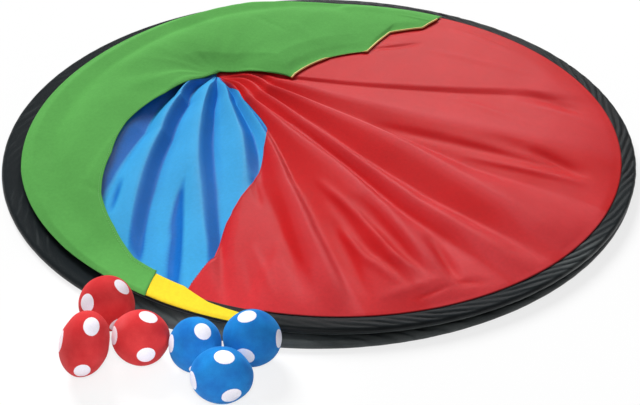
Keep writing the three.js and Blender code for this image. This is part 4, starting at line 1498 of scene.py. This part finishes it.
def spotted(name, tones):
    """Soft brushed cloth with six white spots, placed by each point's direction on the round ball"""
    deep, body, highlight = (colour(*tone) for tone in tones)
    cloth = Finish(name, 0.8, 0.25)
    place = cloth.place()
    direction = cloth.attribute("round").outputs["Vector"]
    unit = cloth.node("VectorMath", {0: direction}, operation="NORMALIZE").outputs[0]
    upright = cloth.node("VectorMath", {0: unit}, operation="ABSOLUTE").outputs[0]
    parts = cloth.node("SeparateXYZ", {0: upright}).outputs
    nearest = cloth.math("MAXIMUM", cloth.math("MAXIMUM", parts[0], parts[1]), parts[2])
    fuzz = cloth.noise(place, 1.2 * MM, 3.0)
    uneven = cloth.math("ADD", nearest, cloth.range(fuzz, 0.0, 1.0, -0.004, 0.004))
    spot = cloth.range(uneven, math.cos(SPOT_ANGLE) - SPOT_EDGE, math.cos(SPOT_ANGLE) + SPOT_EDGE)
    dye = cloth.noise(place, 22 * MM)
    ground = cloth.blend(deep, body, cloth.range(dye, 0.3, 0.7))
    crest = cloth.attribute("crest").outputs["Fac"]
    # Painted highlight on the bulges of the ball
    ground = cloth.blend(ground, highlight, cloth.range(crest, 0.1, 1.0, 0.0, 0.6))
    white = cloth.blend(colour(228, 224, 238), colour(248, 246, 250), dye)
    base = cloth.blend(ground, white, spot)
    shade = cloth.range(fuzz, 0.25, 0.75, 0.93, 1.05)
    tinted = cloth.shaded(base, shade)
    soft = cloth.bump(dye, 1.5 * MM, 0.3)
    raised = cloth.bump(spot, 0.25 * MM, 0.5, soft)
    cloth.set(Base_Color=tinted, Normal=cloth.bump(fuzz, 0.25 * MM, 0.5, raised))
    cloth.set(Sheen_Weight=0.3, Sheen_Roughness=0.5, Sheen_Tint=highlight)
    return cloth.material


BALL_CLOTH = {name: spotted(name, tones) for name, tones in BALL_TONES.items()}
print("ball cloth:", ", ".join(BALL_CLOTH))

# %% [markdown]
# ## Shape of a stuffed ball
# A stuffed ball is narrower where its neighbours squeeze it, flat where it stands, dented where it is
# slack and gathered round a hole at its back. A UV sphere has crowded faces at its poles, so a cube is
# subdivided and cast to a sphere, and then its points are pressed.

# %% Shape of a stuffed ball
FLAT_SHARE = 0.05
# Lumps, and the gathered hole at the back: its depth, its pleats' height and number, and its width
LUMP_HEIGHT = 0.022
LUMP_SIZE = 1.5
LUMP_TILT = 0.7
PUCKER_DEPTH = 0.06
PUCKER_PLEAT = 0.02
PUCKER_PLEATS = 11
PUCKER_WIDTH = 0.22


def round_cube(name, cuts):
    ball = new_primitive(name, bpy.ops.mesh.primitive_cube_add, size=2)
    edit(ball, (bpy.ops.mesh.subdivide, {"number_cuts": cuts}))
    cube = points_of(ball)
    squares = cube**2
    others = squares[:, [1, 2, 0]], squares[:, [2, 0, 1]]
    rounded = cube * np.sqrt(1 - others[0] / 2 - others[1] / 2 + others[0] * others[1] / 3)
    move_points(ball, rounded)
    return ball, rounded / np.linalg.norm(rounded, axis=1)[:, None]


def stuffed(directions, low, high, axes, dents, lean, seed):
    """Places of a stuffed ball's points: the box that it fills, dented, lumpy and flat under itself"""
    centre, half = (low + high) / 2, (high - low) / 2
    swell = 1 + LUMP_HEIGHT * ripple(directions[:, :2] + directions[:, 2:] * LUMP_TILT, LUMP_SIZE, seed)
    for toward, depth, width in dents:
        way = np.array(toward) @ axes
        way = way / np.linalg.norm(way)
        off = np.arccos(np.clip(directions @ way, -1, 1))
        swell = swell - depth * np.exp(-((off / width) ** 2))
    pucker = np.arccos(np.clip(directions[:, 1], -1, 1))
    ring = np.arctan2(directions[:, 2], directions[:, 0])
    pleated = PUCKER_DEPTH + PUCKER_PLEAT * np.cos(PUCKER_PLEATS * ring)
    swell = swell - pleated * np.exp(-((pucker / PUCKER_WIDTH) ** 2))
    points = directions * swell[:, None] * half
    points = points + lean * points[:, 2:] * axes[0] + centre
    seat = low[2] + FLAT_SHARE * half[2]
    sink = np.clip((seat - points[:, 2]) / (FLAT_SHARE * half[2] * 2), 0, 1)
    points[:, 2] = np.maximum(mix(points[:, 2], low[2], smooth(sink, 0, 1)), low[2])
    return points, swell


print("hole:", PUCKER_DEPTH, "radii deep,", PUCKER_PLEATS, "pleats")

# %% [markdown]
# ## Six balls
# Three red and three blue balls lie in front of the set, and each fills the box of its solid. Their dents
# and spots could be placed in space by trial, but they are known as seen, right and up in the view, so
# the camera's own axes turn them into directions. The stuffing inside is a smaller ball of the same
# shape.

# %% Six balls
BALL_CUTS = 35
FILLING_CUTS = 11
FILLING_INSET = 2.5 * MM
BALL_SEED = 20
BULGE_HIGHLIGHT = 25
LEAST_DEPTH = 0.02
# The place of two spots on each ball as the photo shows it, right and up in ball radii
BALL_SPOTS = {
    "red_ball_back": ((-0.72, 0.1), (0.43, 0.56)),
    "red_ball_front": ((0.22, 0.5), (-0.06, -0.71)),
    "red_ball_right": ((0.33, 0.74), (0.19, -0.48)),
    "blue_ball_left": ((0.32, 0.46), (-0.86, 0.21)),
    "blue_ball_right": ((-0.17, 0.78), (0.95, -0.07)),
    "blue_ball_front": ((0.11, 0.6), (-0.89, 0.02)),
}
# Dents of each ball: a direction (right, up, to the camera), a depth in radii, below zero for a bulge, and
# a width
BALL_DENTS = {
    "red_ball_back": [
        ((0.2, -0.6, 0.7), 0.07, 0.5), ((0.9, 0.3, 0.2), 0.04, 0.5), ((-0.6, -0.3, 0.7), 0.04, 0.3),
    ],
    "red_ball_front": [
        ((0.9, -0.2, 0.5), 0.03, 0.4), ((-0.9, -0.2, 0.3), -0.03, 0.4), ((0.3, -0.1, 0.9), 0.03, 0.3),
    ],
    "red_ball_right": [
        ((-0.75, 0.62, 0.35), -0.06, 0.4), ((-0.6, -0.7, 0.5), 0.07, 0.5), ((0.7, -0.6, 0.3), 0.05, 0.4),
        ((-0.3, 0.1, 0.9), 0.03, 0.35),
    ],
    "blue_ball_left": [
        ((-0.6, -0.1, 0.8), 0.05, 0.2), ((-0.25, -0.13, 0.95), 0.07, 0.2), ((0.12, -0.12, 1.0), 0.08, 0.2),
        ((0.5, -0.05, 0.86), 0.09, 0.2), ((0.8, -0.5, 0.4), 0.1, 0.4),
    ],
    "blue_ball_right": [
        ((0.7, 0.6, 0.5), 0.04, 0.5), ((0.5, -0.7, 0.4), 0.05, 0.5), ((0.3, 0.0, 0.95), 0.03, 0.3),
        ((0.19, 0.14, -0.97), 0.12, 0.5),
    ],
    "blue_ball_front": [
        ((0.8, 0.5, 0.4), 0.05, 0.5), ((-0.62, 0.5, 0.6), 0.06, 0.3), ((-0.2, 0.1, 0.97), 0.035, 0.25),
        ((0.4, 0.0, 0.9), 0.025, 0.25),
    ],
}
# How far a ball leans to the right as it goes up
BALL_LEAN = {"red_ball_front": 0.13}


def view_axes(centre):
    """Right, up and to-the-camera at a place, as the camera sees it"""
    back = np.array((camera.location - Vector(centre)).normalized())
    right = np.cross([0, 0, 1], back)
    right = right / np.linalg.norm(right)
    return np.stack([right, np.cross(back, right), back])


def on_ball(seen, axes):
    """Direction from a ball's centre to a place that is seen on it, right and up in radii"""
    right, up = seen
    depth = math.sqrt(max(LEAST_DEPTH, 1 - right * right - up * up))
    made = np.array([right, up, depth]) @ axes
    return made / np.linalg.norm(made)


for number, (name, spots_seen) in enumerate(BALL_SPOTS.items()):
    low, high = (np.array(corner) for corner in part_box(f"{name}_cover"))
    axes = view_axes((low + high) / 2)
    pressed = axes, BALL_DENTS[name], BALL_LEAN.get(name, 0), BALL_SEED + number
    first, second = (on_ball(seen, axes) for seen in spots_seen)
    second = second - (second @ first) * first
    second = second / np.linalg.norm(second)
    spot_axes = np.stack([first, second, np.cross(first, second)])
    ball, directions = round_cube(f"{name}_ball", BALL_CUTS)
    points, swell = stuffed(directions, low, high, *pressed)
    move_points(ball, points)
    write_attribute(ball, "round", directions @ spot_axes.T, "FLOAT_VECTOR")
    # Where the ball bulges out, its crest gives it a painted highlight
    write_attribute(ball, "crest", np.clip((swell - 1) * BULGE_HIGHLIGHT, -1, 1))
    slot = "red_ball_cloth" if name.startswith("red") else "blue_ball_cloth"
    dress(ball, BALL_CLOTH[slot])
    stuffing, directions = round_cube(f"{name}_stuffing", FILLING_CUTS)
    points, _ = stuffed(directions, low + FILLING_INSET, high - FILLING_INSET, *pressed)
    move_points(stuffing, points)
    dress(stuffing, BALL_FIBRE)
    for piece, solid in ((ball, "cover"), (stuffing, "filling")):
        shade_smooth(piece)
        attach(piece, name)
        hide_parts(f"{name}_{solid}")
    print(ball.name, len(ball.data.polygons), "faces")

# %% [markdown]
# ## A row of stitches
# Seams are sewn, and a row of stitches is what makes them look sewn. A bump would look flat from the
# side, so one stitch is modelled from a small sphere, and a copy goes down at every pitch along a path on
# the cloth.

# %% A row of stitches
STITCH_PITCH = 4.2 * MM
STITCH_LENGTH = 3.0 * MM
STITCH_THICKNESS = 0.7 * MM


def one_stitch():
    stitch = new_primitive(
        "stitch", bpy.ops.mesh.primitive_uv_sphere_add,
        segments=6, ring_count=4, radius=0.5, rotation=(0, math.pi / 2, 0),
    )
    bpy.ops.object.transform_apply(location=True, rotation=True, scale=True)
    points = points_of(stitch) * [STITCH_LENGTH, STITCH_THICKNESS, STITCH_THICKNESS]
    faces = [list(face.vertices) for face in stitch.data.polygons]
    bpy.data.objects.remove(stitch)
    return points, faces


STITCH_POINTS, STITCH_FACES = one_stitch()


def sew(name, path, material):
    """A row of stitches along a path, each one lying along it"""
    steps = np.linalg.norm(np.diff(path, axis=0), axis=1)
    run = np.concatenate([[0], np.cumsum(steps)])
    count = int(run[-1] / STITCH_PITCH)
    stops = (np.arange(count) + 0.5) * run[-1] / count
    half = STITCH_LENGTH / 2
    behind, middle, ahead = (
        np.stack([np.interp(stops + step, run, path[:, k]) for k in range(3)], -1)
        for step in (-half, 0, half)
    )
    forward = ahead - behind
    forward = forward / np.linalg.norm(forward, axis=1)[:, None]
    beside = np.cross([0, 0, 1], forward)
    beside = beside / np.linalg.norm(beside, axis=1)[:, None]
    upward = np.cross(forward, beside)
    turned = np.stack([forward, beside, upward], 1)
    points = np.einsum("pk,ckx->cpx", STITCH_POINTS, turned) + middle[:, None, :]
    size = len(STITCH_POINTS)
    faces = [[v + copy * size for v in face] for copy in range(count) for face in STITCH_FACES]
    mesh = bpy.data.meshes.new(name)
    mesh.from_pydata(points.reshape(-1, 3).tolist(), [], faces)
    row = bpy.data.objects.new(name, mesh)
    scene.collection.objects.link(row)
    shade_smooth(row)
    dress(row, material)
    print(name, count, "stitches")
    return row


print("one stitch:", len(STITCH_FACES), "faces")

# %% [markdown]
# ## Stitching
# The sleeves are sewn along their inner edges with dark thread, except where cloth laps over the upper
# one. Green thread follows the flap's edge, and red thread runs beside the seam of the panels. A row
# could be joined to its cloth, but as a piece of its own it keeps its own finish, and it moves as its
# cloth does.

# %% Stitching
THREAD_RISE = 0.1 * MM
# How far the rows lie inside the sleeves' sewn edges, the flap's edge and the seam
RIM_ROW_INSET = 3.2 * MM
FLAP_ROW_INSET = 4 * MM
SEAM_ROW_INSET = 2.2 * MM
SEAM_ROW_SHARES = 0.05, 0.97
LOWER_SEWN_EDGE = LOWER_RADIUS - LOWER_SLEEVE_WIDTH
for rim, centre, inner, base, top, first, last, count in (
    ("lower_rim", LOWER_CENTRE, LOWER_SEWN_EDGE, LOWER_BASE, LOWER_TOP, -180, 180, 1441),
    ("upper_rim", UPPER_CENTRE, UPPER_CLEAR, UPPER_BASE, UPPER_TOP, LAP_TO, LAP_FROM + 360, 721),
):
    sewn_top = mix(base, top, (1 + SEWN_EDGE_HEIGHT) / 2)
    around = np.linspace(first, last, count)
    path = at_angle(centre, around, inner + RIM_ROW_INSET, sewn_top + THREAD_RISE)
    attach(sew(f"{rim}_stitches", path, DARK_THREAD), rim.replace("rim", "ring"))
flap_row = edge_path(HEM_END_ANGLE + 1, FLAP_EDGE[-1][0] - 0.5, FLAP_ROW_INSET)
flap_row[:, 2] += THREAD_RISE
lift_with_rim(sew("flap_stitches", flap_row, GREEN_THREAD))
seam_share = np.linspace(*SEAM_ROW_SHARES, 200)
seam_line = seam_angle(seam_share) + np.degrees(SEAM_ROW_INSET / (seam_share * SEAM_LENGTH))
seam_row = at_angle(NECK, seam_line, seam_share * reach(NECK, seam_line, UPPER_CENTRE, UPPER_CLEAR), 0)
seam_row[:, 2] = upper_cloth(seam_row)[0] + THREAD_RISE
lift_with_rim(sew("seam_stitches", seam_row, RED_THREAD))

# %% [markdown]
# ## Size and finish
# The dressed set has to keep the size of the solids, so the box of what is shown is printed.

# %% Size and finish
low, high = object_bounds()
print("visual box:", [round(x, 4) for x in (*low, *high)])
